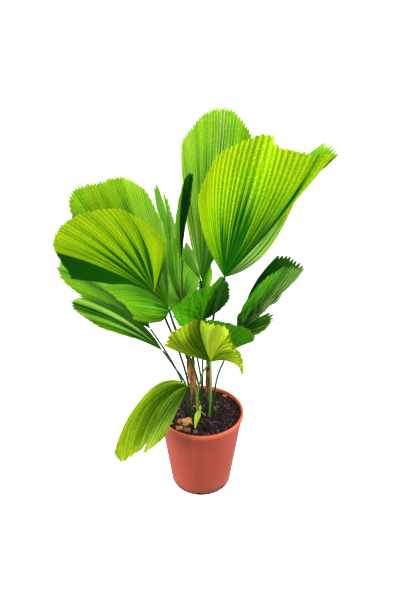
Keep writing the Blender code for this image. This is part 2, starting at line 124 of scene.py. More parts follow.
class Shader:
    """A material under construction, built from a Principled shader outwards."""

    def __init__(self, name: str, roughness: float, specular: float = 0.5) -> None:
        """Start a material.

        Args:
            name: the material's name.
            roughness: its roughness where nothing else is said.
            specular: the shader's specular level.
        """
        self.material = bpy.data.materials.new(name)
        self.material.use_nodes = True
        self.tree = self.material.node_tree
        self.surface = self.tree.nodes["Principled BSDF"]
        self.surface.inputs["Roughness"].default_value = roughness
        self.surface.inputs["Specular IOR Level"].default_value = specular

    def node(self, kind: str, settings: dict[str, Any], inputs: dict[Any, Any],
             output: int | str = 0) -> Value:
        """Add a node.

        Args:
            kind: the node's type.
            settings: its settings; "stops" are a colour ramp's (place, colour) pairs.
            inputs: values or wrapped sockets for its input sockets.
            output: the output socket wanted.

        Returns:
            That output, wrapped.
        """
        made = self.tree.nodes.new(kind)
        for name, value in settings.items():
            if name == "stops":
                self._set_stops(made.color_ramp, value)
            else:
                setattr(made, name, value)
        for name, value in inputs.items():
            if isinstance(value, Value):
                self.tree.links.new(value.socket, made.inputs[name])
            else:
                made.inputs[name].default_value = value
        return Value(self, made.outputs[output])

    @staticmethod
    def _set_stops(ramp: bpy.types.ColorRamp, stops: Sequence[tuple[float, Colour]]) -> None:
        """Give a colour ramp its stops."""
        while len(ramp.elements) < len(stops):
            ramp.elements.new(1.0)
        for element, (place, colour) in zip(ramp.elements, stops):
            element.position = place
            element.color = (*colour, 1.0)

    def coordinate(self, axis: str) -> Value:
        """One axis of the piece's own place, in metres."""
        place = self.node("ShaderNodeTexCoord", {}, {}, "Object")
        return self.node("ShaderNodeSeparateXYZ", {}, {"Vector": place}, axis)

    def attribute(self, name: str) -> Value:
        """A number kept on the piece's points."""
        return self.node("ShaderNodeAttribute", {"attribute_name": name}, {}, "Fac")

    def uv(self, name: str) -> tuple[Value, Value]:
        """Both numbers of a UV map."""
        place = self.node("ShaderNodeUVMap", {"uv_map": name}, {})
        split = self.node("ShaderNodeSeparateXYZ", {}, {"Vector": place}, "X")
        return split, Value(self, split.socket.node.outputs["Y"])

    def vector(self, x: Value | float, y: Value | float, z: Value | float = 0.0) -> Value:
        """A vector of three numbers."""
        return self.node("ShaderNodeCombineXYZ", {}, {"X": x, "Y": y, "Z": z})

    def object_noise(self, scale: float, detail: float = 3.0, stretch: Point = (1, 1, 1)) -> Value:
        """Soft noise over the piece's own place.

        Args:
            scale: grains to a metre.
            detail: octaves.
            stretch: how much closer the grains lie along each axis.

        Returns:
            Noise from 0 to 1.
        """
        place = self.node("ShaderNodeTexCoord", {}, {}, "Object")
        mapped = self.node("ShaderNodeMapping", {}, {"Vector": place, "Scale": stretch})
        return self.noise(mapped, scale, detail)

    def noise(self, where: Value, scale: float, detail: float = 2.0) -> Value:
        """Soft noise at a place."""
        inputs = {"Vector": where, "Scale": scale, "Detail": detail}
        return self.node("ShaderNodeTexNoise", {}, inputs)

    def ramp(self, amount: Value, stops: Sequence[tuple[float, Colour]]) -> Value:
        """A colour read off a ramp."""
        return self.node("ShaderNodeValToRGB", {"stops": stops}, {"Fac": amount})

    def mix(self, amount: Value | float, first: "Value | Colour", second: "Value | Colour",
            blend: str = "MIX") -> Value:
        """Mix two colours.

        Args:
            amount: 0 for the first and 1 for the second.
            first: a colour.
            second: a colour.
            blend: the Mix node's blend type.

        Returns:
            The mixed colour.
        """
        sockets = {0: amount, 6: self._four(first), 7: self._four(second)}
        settings = {"data_type": "RGBA", "blend_type": blend, "clamp_factor": True}
        return self.node("ShaderNodeMix", settings, sockets, 2)

    @staticmethod
    def _four(colour: "Value | Colour") -> Any:
        """A colour with its alpha, if it is plain numbers."""
        return colour if isinstance(colour, Value) else (*colour, 1.0)

    def feed(self, socket: str, value: Value) -> None:
        """Link a value to a socket of the surface shader."""
        self.tree.links.new(value.socket, self.surface.inputs[socket])

    def bump(self, height: Value, distance: float, strength: float = 1.0) -> None:
        """Give the surface fine relief.

        Args:
            height: the relief, from 0 to 1.
            distance: metres that 1 stands for.
            strength: how much of it shows.
        """
        inputs = {"Height": height, "Distance": distance, "Strength": strength}
        self.feed("Normal", self.node("ShaderNodeBump", {}, inputs))

    def let_light_through(self, amount: float, colour: Value) -> None:
        """Mix in light that shines through a thin surface.

        Args:
            amount: the share of the surface that passes light on.
            colour: the colour that the light takes.
        """
        through = self.node("ShaderNodeBsdfTranslucent", {}, {"Color": colour})
        mixed = self.tree.nodes.new("ShaderNodeMixShader")
        mixed.inputs["Fac"].default_value = amount
        self.tree.links.new(self.surface.outputs["BSDF"], mixed.inputs[1])
        self.tree.links.new(through.socket, mixed.inputs[2])
        output = self.tree.nodes["Material Output"]
        self.tree.links.new(mixed.outputs["Shader"], output.inputs["Surface"])


# ---- finishes -------------------------------------------------------------------------


@dataclass(frozen=True)
class LeafFinish:
    """The colours of a leaf, from its hub, darkened as painted shade, to its margin, and those of
    its flecks.

    fleck_share is how strongly the flecks show, middle_place where on the ramp the middle colour
    lies, browned how dry the teeth are, through the light that shines through the blade, and
    runs how dark the painted shade on runs of pleats near the hub is.
    """

    name: str
    deep: Colour
    middle: Colour
    bright: Colour
    fleck: Colour
    fleck_share: float = 0.5
    middle_place: float = 0.45
    browned: float = 0.0
    roughness: float = 0.42
    through: float = 0.16
    runs: float = 0.28
    specular: float = 0.03

    def material(self) -> bpy.types.Material:
        """Build the pleated leaf's material.

        Returns:
            A satin green with painted shade in its folds, on one side of each pleat, towards the
            hub and on runs of pleats near it, uneven light and dark pleats, fine yellow cross veins
            between the ribs, pale ribs with a painted highlight, a painted silvery sheen for the
            lamps' gloss where the leaf has one, and dry brown tips.
        """
        shader = Shader(self.name, self.roughness, self.specular)
        pleat, share = shader.uv("fan")
        phase = pleat.math("FRACT")
        crest = 1.0 - (phase * 2.0 - 1.0).math("ABSOLUTE")
        patches = shader.object_noise(11.0, 3.0)
        threads = shader.noise(shader.vector(pleat * 6.5, share * 1.1), 1.0, 2.0)
        cross = shader.noise(shader.vector(pleat * 2.6, share * 70.0), 1.0, 2.0)
        groups = shader.noise(shader.vector(pleat * 0.62, share * 0.9), 1.0, 2.0)
        # Painted shade darkens the blade towards its hub, and the shade number adds the leaf's
        # painted light and shade across the fan; groups, threads and patches are random tone.
        tone = (share * 0.85 + shader.attribute("shade")
                + (groups - 0.5) * (share * -0.60 + 1.10)
                + (threads - 0.5) * 0.50 + (patches - 0.5) * 0.30)
        # Painted shade on one side of each pleat, in the valleys, and on runs of pleats near the
        # hub.
        shaded_side = (phase - 0.5).between(-0.06, 0.06)
        valley_shade = crest.between(0.26, 0.0) * (share * -0.40 + 0.56)
        run_shade = groups.between(0.52, 0.32) * (share * -1.0 + 0.68).between(0.0, 1.0)
        tone = tone - shaded_side * 0.09 - valley_shade - run_shade * self.runs
        flecks = cross.between(0.50, 0.60) * tone.between(0.15, 0.6) * patches.between(0.3, 0.5)
        # A pale rib along each crest, partly a painted highlight, stronger where the blade is
        # lighter.
        pale_rib_highlight = crest.between(0.86, 1.0) * tone.between(0.1, 0.5) * 0.40
        # A painted silvery sheen in streaks, standing for the lamps' gloss on some leaves.
        silver = crest.between(0.45, 0.85) * 0.75 + threads.between(0.45, 0.65) * 0.45
        painted_sheen = (shader.attribute("painted_sheen") * silver).between(0.0, 1.0)
        stops = [(0.0, self.deep), (self.middle_place, self.middle), (1.0, self.bright)]
        colour = shader.ramp(tone.between(0.0, 1.0), stops)
        colour = shader.mix(flecks * self.fleck_share, colour, self.fleck)
        colour = shader.mix(pale_rib_highlight, colour, self.fleck)
        colour = self._dried(shader, pleat, share, shader.mix(painted_sheen, colour, PAINTED_SHEEN))
        shader.feed("Base Color", colour)
        shader.feed("Roughness", cross * 0.22 + (self.roughness - 0.11))
        shader.bump(cross * 0.5 + crest.between(0.85, 1.0) * 0.5 + threads * 0.4, 0.0004, 0.6)
        shader.let_light_through(self.through, colour)
        return shader.material

    def _dried(self, shader: Shader, pleat: Value, share: Value, colour: Value) -> Value:
        """Brown the teeth's tips and the dry marks.

        Args:
            shader: the material under construction.
            pleat: pleats counted across the fan.
            share: shares of the way to the margin.
            colour: the living leaf's colour.

        Returns:
            The colour with its dry parts.
        """
        ragged = shader.noise(shader.vector(pleat * 1.1, share * 6.0), 1.0, 2.0)
        dry_tip = (share + (ragged - 0.5) * 0.22 * self.browned).between(0.985, 1.01)
        colour = shader.mix(dry_tip * min(1.0, self.browned * 4), colour, DRY_TIP)
        return shader.mix(shader.attribute("scar").between(0.25, 0.6), colour, SCAR)


DRY_TIP = (0.30, 0.13, 0.035)
SCAR = (0.62, 0.24, 0.03)
# The colour of the painted silvery sheen, standing for the lamps' gloss.
PAINTED_SHEEN = (0.55, 0.78, 0.20)


class Tone(Enum):
    """The finishes that a leaf may have."""

    FRESH = LeafFinish("leaf_fresh_green", (0.005, 0.090, 0.001), (0.150, 0.420, 0.002),
                       (0.370, 0.600, 0.003), (0.520, 0.720, 0.006), 0.65, 0.42)
    BRIGHT = LeafFinish("leaf_bright_green", (0.010, 0.110, 0.001), (0.140, 0.400, 0.003),
                        (0.310, 0.570, 0.004), (0.500, 0.720, 0.020), 0.60, 0.45)
    MIDDLE = LeafFinish("leaf_middle_green", (0.003, 0.070, 0.001), (0.060, 0.280, 0.002),
                        (0.230, 0.550, 0.003), (0.400, 0.630, 0.030), 0.45, 0.50, 0.2)
    DEEP = LeafFinish("leaf_deep_green", (0.002, 0.045, 0.001), (0.014, 0.150, 0.001),
                      (0.060, 0.340, 0.002), (0.170, 0.460, 0.012), 0.40, 0.50, 0.2)
    LUSH = LeafFinish("leaf_lush_green", (0.003, 0.070, 0.001), (0.060, 0.340, 0.002),
                      (0.240, 0.720, 0.008), (0.420, 0.800, 0.040), 0.50, 0.48, 0.1)
    OLIVE = LeafFinish("leaf_olive_green", (0.012, 0.095, 0.001), (0.070, 0.230, 0.001),
                       (0.360, 0.500, 0.002), (0.460, 0.600, 0.030), 0.45, 0.52, 0.9)
    YOUNG = LeafFinish("leaf_young_lime", (0.050, 0.120, 0.001), (0.200, 0.350, 0.003),
                       (0.600, 0.800, 0.008), (0.700, 0.820, 0.060), 0.50, 0.50, 1.0)


@dataclass(frozen=True)
class StalkFinish:
    """A smooth stalk: its colour low down and near the blade."""

    name: str
    foot: Colour
    top: Colour

    def material(self) -> bpy.types.Material:
        """Build the stalk's material, with fine lengthwise streaks."""
        shader = Shader(self.name, 0.34, 0.18)
        height = shader.attribute("along")
        streaks = shader.object_noise(60.0, 3.0, (6, 6, 0.4))
        colour = shader.ramp(height + (streaks - 0.5) * 0.5, [(0.15, self.foot), (0.9, self.top)])
        colour = shader.mix(streaks.between(0.55, 0.75) * 0.4, colour, (0.11, 0.20, 0.03))
        shader.feed("Base Color", colour)
        shader.feed("Roughness", streaks.between(0.2, 0.8) * 0.2 + 0.26)
        shader.bump(streaks, 0.0002, 0.5)
        return shader.material


DARK_STALK = StalkFinish("stalk_dark_green", (0.010, 0.036, 0.008), (0.006, 0.055, 0.008))
MOSS_STALK = StalkFinish("stalk_moss_green", (0.150, 0.240, 0.020), (0.045, 0.160, 0.012))
LIGHT_STALK = StalkFinish("stalk_light_green", (0.060, 0.230, 0.008), (0.240, 0.360, 0.090))
BROWN_STALK = StalkFinish("stalk_brown", (0.080, 0.060, 0.014), (0.060, 0.085, 0.010))


def pot_material() -> bpy.types.Material:
    """Build the pot's satin terracotta plastic: a lip painted lighter for light that shines through
    and catches on it, faint streaks, dust and dirt.
    """
    shader = Shader("terracotta_plastic", 0.45, 0.38)
    height = shader.coordinate("Z")
    cloud = shader.object_noise(14.0, 4.0)
    streaks = shader.object_noise(30.0, 3.0, (3, 3, 0.25))
    grain = shader.object_noise(900.0, 2.0)
    colour = shader.mix(cloud.between(0.3, 0.7), (0.300, 0.036, 0.014), (0.345, 0.044, 0.018))
    colour = shader.mix(streaks.between(0.45, 0.75) * 0.30, colour, (0.40, 0.062, 0.028))
    # Painted light: the lip is painted a lighter orange for light shining through and catching on
    # the thin rim.
    lip = height.between(POT_HEIGHT - 0.014, POT_HEIGHT - 0.004)
    colour = shader.mix(lip * 0.9, colour, (0.54, 0.092, 0.030))
    scuffs = shader.object_noise(70.0, 5.0, (1, 1, 3)).between(0.62, 0.74)
    colour = shader.mix(scuffs * 0.22, colour, (0.55, 0.18, 0.10))
    low = height.between(0.020, 0.008)
    specks = shader.object_noise(130.0, 2.0, (1, 1, 1.6)).between(0.50, 0.53)
    colour = shader.mix(specks * low, colour, (0.030, 0.006, 0.006))
    shader.feed("Base Color", colour)
    shader.feed("Roughness", cloud * 0.10 + scuffs * 0.2 + 0.38)
    shader.bump(grain * 0.4 + streaks * 0.6, 0.00018, 0.5)
    return shader.material


def soil_material() -> bpy.types.Material:
    """Build the dark, crumbly mix, whose crumbs go from near black to tan by their shade."""
    shader = Shader("bark_mix", 0.9, 0.3)
    shade = shader.attribute("shade")
    mottle = shader.object_noise(320.0, 4.0)
    stops = [(0.10, (0.003, 0.001, 0.002)), (0.45, (0.015, 0.006, 0.007)),
             (0.72, (0.085, 0.028, 0.022)), (1.0, (0.36, 0.15, 0.08))]
    shader.feed("Base Color", shader.ramp(shade + (mottle - 0.5) * 0.45, stops))
    shader.feed("Roughness", 0.75 + mottle * 0.25)
    shader.bump(mottle, 0.0012, 0.8)
    return shader.material


def fibre_material() -> bpy.types.Material:
    """Build the woven brown sheath fibre of the trunks, streaked from straw to dark brown."""
    shader = Shader("sheath_fibre", 0.85, 0.3)
    threads = shader.object_noise(420.0, 4.0, (1, 1, 0.08))
    patches = shader.object_noise(55.0, 3.0)
    stops = [(0.25, (0.008, 0.004, 0.005)), (0.42, (0.045, 0.018, 0.012)),
             (0.60, (0.170, 0.062, 0.012)), (0.85, (0.420, 0.200, 0.045))]
    height = shader.coordinate("Z").between(SOIL_TOP, SOIL_TOP + 0.08)
    tone = (threads * 1.2 + patches * 0.8 - 0.75 + shader.attribute("shade") * 0.24
            + height * 0.26)
    shader.feed("Base Color", shader.ramp(tone, stops))
    shader.feed("Roughness", 0.65 + threads * 0.3)
    shader.bump(threads, 0.0008, 0.9)
    return shader.material


@dataclass(frozen=True)
class BarkFinish:
    """A broken chip of bark: its pale and its dark layers."""

    name: str
    pale: Colour
    dark: Colour

    def material(self) -> bpy.types.Material:
        """Build the layered chip's material."""
        shader = Shader(self.name, 0.85, 0.3)
        layers = shader.object_noise(240.0, 4.0, (0.5, 0.5, 3.0))
        spots = shader.object_noise(420.0, 3.0)
        colour = shader.mix(layers.between(0.35, 0.7), self.pale, self.dark)
        colour = shader.mix(spots.between(0.6, 0.75) * 0.5, colour, (0.06, 0.025, 0.01))
        shader.feed("Base Color", colour)
        shader.feed("Roughness", 0.7 + spots * 0.3)
        shader.bump(layers, 0.0010, 0.8)
        return shader.material


PALE_BARK = BarkFinish("bark_pale", (0.58, 0.33, 0.075), (0.30, 0.13, 0.03))
TAN_BARK = BarkFinish("bark_tan", (0.40, 0.17, 0.045), (0.16, 0.06, 0.02))
BROWN_BARK = BarkFinish("bark_brown", (0.26, 0.11, 0.04), (0.10, 0.04, 0.02))


def sprout_material() -> bpy.types.Material:
    """Build the seedling's soft lime green, mottled paler in places."""
    shader = Shader("sprout_lime", 0.42)
    mottle = shader.object_noise(180.0, 3.0)
    colour = shader.mix(mottle.between(0.3, 0.7), (0.26, 0.50, 0.012), (0.46, 0.68, 0.040))
    shader.feed("Base Color", colour)
    shader.feed("Roughness", 0.36 + mottle * 0.15)
    shader.bump(mottle, 0.0003, 0.5)
    shader.let_light_through(0.2, colour)
    return shader.material


# ---- shared mesh work -----------------------------------------------------------------


def deselect() -> None:
    """Leave edit mode if need be and deselect everything."""
    if bpy.context.mode != "OBJECT":
        bpy.ops.object.mode_set(mode="OBJECT")
    bpy.ops.object.select_all(action="DESELECT")


def pick(*pieces: bpy.types.Object) -> None:
    """Select only these pieces, the first of them active."""
    deselect()
    for piece in pieces:
        piece.select_set(True)
    bpy.context.view_layer.objects.active = pieces[0]


def spline(points: np.ndarray, place: np.ndarray) -> np.ndarray:
    """Read a Catmull-Rom curve.

    Args:
        points: the curve's points, one to a row.
        place: where to read it, from 0 at the first point to 1 at the last.

    Returns:
        One row for each place.
    """
    ends = np.vstack([2 * points[0] - points[1], points, 2 * points[-1] - points[-2]])
    spans = len(points) - 1
    where = np.clip(place, 0.0, 1.0) * spans
    span = np.minimum(where.astype(int), spans - 1)
    t = (where - span)[:, None]
    a, b, c, d = (ends[span + step] for step in range(4))
    return 0.5 * (2 * b + (c - a) * t + (2 * a - 5 * b + 4 * c - d) * t ** 2
                  + (3 * b - a - 3 * c + d) * t ** 3)


def unit(vectors: np.ndarray) -> np.ndarray:
    """Scale each row to length 1."""
    return vectors / np.maximum(np.linalg.norm(vectors, axis=-1, keepdims=True), 1e-12)


def points_of(piece: bpy.types.Object) -> np.ndarray:
    """A mesh's points, one to a row."""
    places = np.empty(len(piece.data.vertices) * 3, np.float32)
    piece.data.vertices.foreach_get("co", places)
    return places.reshape(-1, 3).astype(float)


def set_points(piece: bpy.types.Object, places: np.ndarray) -> None:
    """Move a mesh's points."""
    piece.data.vertices.foreach_set("co", places.astype(np.float32).ravel())
    piece.data.update()


def keep_number(piece: bpy.types.Object, name: str, values: np.ndarray) -> None:
    """Keep a number for each of a mesh's points."""
    made = piece.data.attributes.new(name, "FLOAT", "POINT")
    made.data.foreach_set("value", values.astype(np.float32))


def apply_modifier(piece: bpy.types.Object, kind: str, **settings: Any) -> None:
    """Add a modifier to a piece and apply it.

    Args:
        piece: the piece.
        kind: the modifier's type.
        settings: the modifier's settings.
    """
    pick(piece)
    made = piece.modifiers.new(kind.lower(), kind)
    for name, value in settings.items():
        setattr(made, name, value)
    bpy.ops.object.modifier_apply(modifier=made.name)


def smooth(piece: bpy.types.Object, degrees: float) -> None:
    """Shade a piece smooth, with edges sharper than an angle left crisp."""
    pick(piece)
    bpy.ops.object.shade_smooth_by_angle(angle=math.radians(degrees))


def named(name: str) -> bpy.types.Object:
    """Name the object that the last operator made."""
    piece = bpy.context.object
    piece.name = name
    piece.data.name = name
    return piece


def settle(piece: bpy.types.Object, material: bpy.types.Material,
           nodes: Iterable[str] = ()) -> None:
    """Finish a piece: its material, its body, and what it stands for.

    Args:
        piece: the piece.
        material: its material.
        nodes: the CAD nodes that it replaces.
    """
    piece.data.materials.clear()
    piece.data.materials.append(material)
    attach(piece, "root")
    for node in nodes:
        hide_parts(node)
    LOG.info("%s: %d faces", piece.name, len(piece.data.polygons))


def sheet_grid(name: str, columns: int,
               rows: int) -> tuple[bpy.types.Object, np.ndarray, np.ndarray]:
    """Add a flat grid to be shaped.

    Args:
        name: the piece's name.
        columns: points across.
        rows: points along.

    Returns:
        The piece, and each point's share across and along.
    """
    deselect()
    bpy.ops.mesh.primitive_grid_add(x_subdivisions=columns - 1, y_subdivisions=rows - 1, size=1)
    piece = named(name)
    flat = points_of(piece)
    return piece, flat[:, 0] + 0.5, flat[:, 1] + 0.5


def lay_uv(piece: bpy.types.Object, name: str, across: np.ndarray, along: np.ndarray) -> None:
    """Give a mesh a UV map from a number pair for each point."""
    layer = piece.data.uv_layers.new(name=name)
    piece.data.uv_layers.active = layer
    corners = np.empty(len(piece.data.loops), np.int32)
    piece.data.loops.foreach_get("vertex_index", corners)
    pairs = np.stack([across[corners], along[corners]], -1)
    layer.data.foreach_set("uv", pairs.astype(np.float32).ravel())


@dataclass
class Tube:
    """A round closed rod along a path, shaped from a cylinder."""

    name: str
    path: np.ndarray
    radii: np.ndarray
    sides: int = 12
    oval: float = 0.0

    def build(self) -> bpy.types.Object:
        """Cut the cylinder into rings and lay them along the path.

        Returns:
            The rod, with its share of the way along kept on its points.
        """
        rings = len(self.path)
        deselect()
        bpy.ops.mesh.primitive_cylinder_add(vertices=self.sides, radius=1.0, depth=1.0)
        piece = named(self.name)
        bpy.ops.object.mode_set(mode="EDIT")
        bpy.ops.mesh.select_all(action="DESELECT")
        bpy.ops.mesh.select_mode(type="EDGE")
        bpy.ops.object.mode_set(mode="OBJECT")
        verts = piece.data.vertices
        for edge in piece.data.edges:
            ends = [verts[index].co.z for index in edge.vertices]
            edge.select = abs(ends[0] - ends[1]) > 0.5
        bpy.ops.object.mode_set(mode="EDIT")
        bpy.ops.mesh.subdivide(number_cuts=rings - 2)
        bpy.ops.object.mode_set(mode="OBJECT")
        flat = points_of(piece)
        share = flat[:, 2] + 0.5
        ring = np.rint(share * (rings - 1)).astype(int)
        first, second = self._frames()
        turn = np.arctan2(flat[:, 1], flat[:, 0])
        reach = self.radii[ring][:, None]
        out = (first[ring] * ((1 + self.oval) * np.cos(turn))[:, None]
               + second[ring] * np.sin(turn)[:, None])
        set_points(piece, self.path[ring] + out * reach)
        keep_number(piece, "along", share)
        return piece

    def _frames(self) -> tuple[np.ndarray, np.ndarray]:
        """Two directions across the path at each of its points, untwisted along it."""
        heading = unit(np.gradient(self.path, axis=0))
        start = np.cross(heading[0], (0.0, 1.0, 0.0))
        first = [unit(start) if np.linalg.norm(start) > 0.1 else np.array((1.0, 0.0, 0.0))]
        for direction in heading[1:]:
            carried = first[-1] - direction * first[-1].dot(direction)
            first.append(unit(carried))
        across = np.array(first)
        return across, np.cross(heading, across)


def join(pieces: Sequence[bpy.types.Object], name: str) -> bpy.types.Object:
    """Join several pieces into one."""
    pick(*pieces)
    if len(pieces) > 1:
        bpy.ops.object.join()
    return named(name)


# ---- leaves ---------------------------------------------------------------------------


@dataclass(frozen=True)
class Look:
    """How one leaf differs from the others.

    bands and bloom hold (place across the fan, amount): how much painted light or shade lightens or
    darkens the blade there, and how much painted silvery sheen stands for the lamps' gloss;
    hub_lift lifts the painted shade towards its hub, and deepens it where it is below 0. splits
    holds (place, depth, half width in pleats), and long_teeth (first, last, length) stretches of
    the margin with teeth of another length. lobes holds (first, last, length) stretches that stand
    out. curl holds (place, radians) by which the blade's outer part rolls over, from curl_start
    outwards. A rounding below 1 widens the blade by its hub. bulge holds (place, height) of
    lengthwise swells, and crinkle is the height of fine wrinkles. scars holds (place, share, half
    width in pleats, half length) of dry orange marks.
    """

    tone: Tone
    pleats: int = 44
    tooth: float = 0.0050
    wave: float = 0.012
    droop: float = 0.0
    hub_lift: float = 0.0
    bands: tuple = ((0.0, 0.0), (1.0, 0.0))
    painted_sheen: tuple = ((0.0, 0.0), (1.0, 0.0))
    splits: tuple = ()
    long_teeth: tuple = ()
    lobes: tuple = ()
    curl: tuple = ((0.0, 0.0), (1.0, 0.0))
    curl_start: float = 0.60
    rounding: float = 1.0
    bulge: tuple = ((0.0, 0.0), (1.0, 0.0))
    crinkle: float = 0.0
    scars: tuple = ()


@dataclass(frozen=True)
class Leaf:
    """A leaf: the key ribs (bearing, rise, length) of its fan, its bend, stalk and look."""

    name: str
    hub: Point
    ribs: tuple
    flare: tuple[float, float]
    arch: float
    root: tuple[float, float]
    via: tuple
    girth: float
    bearer: str
    look: Look
    stalk: StalkFinish = DARK_STALK


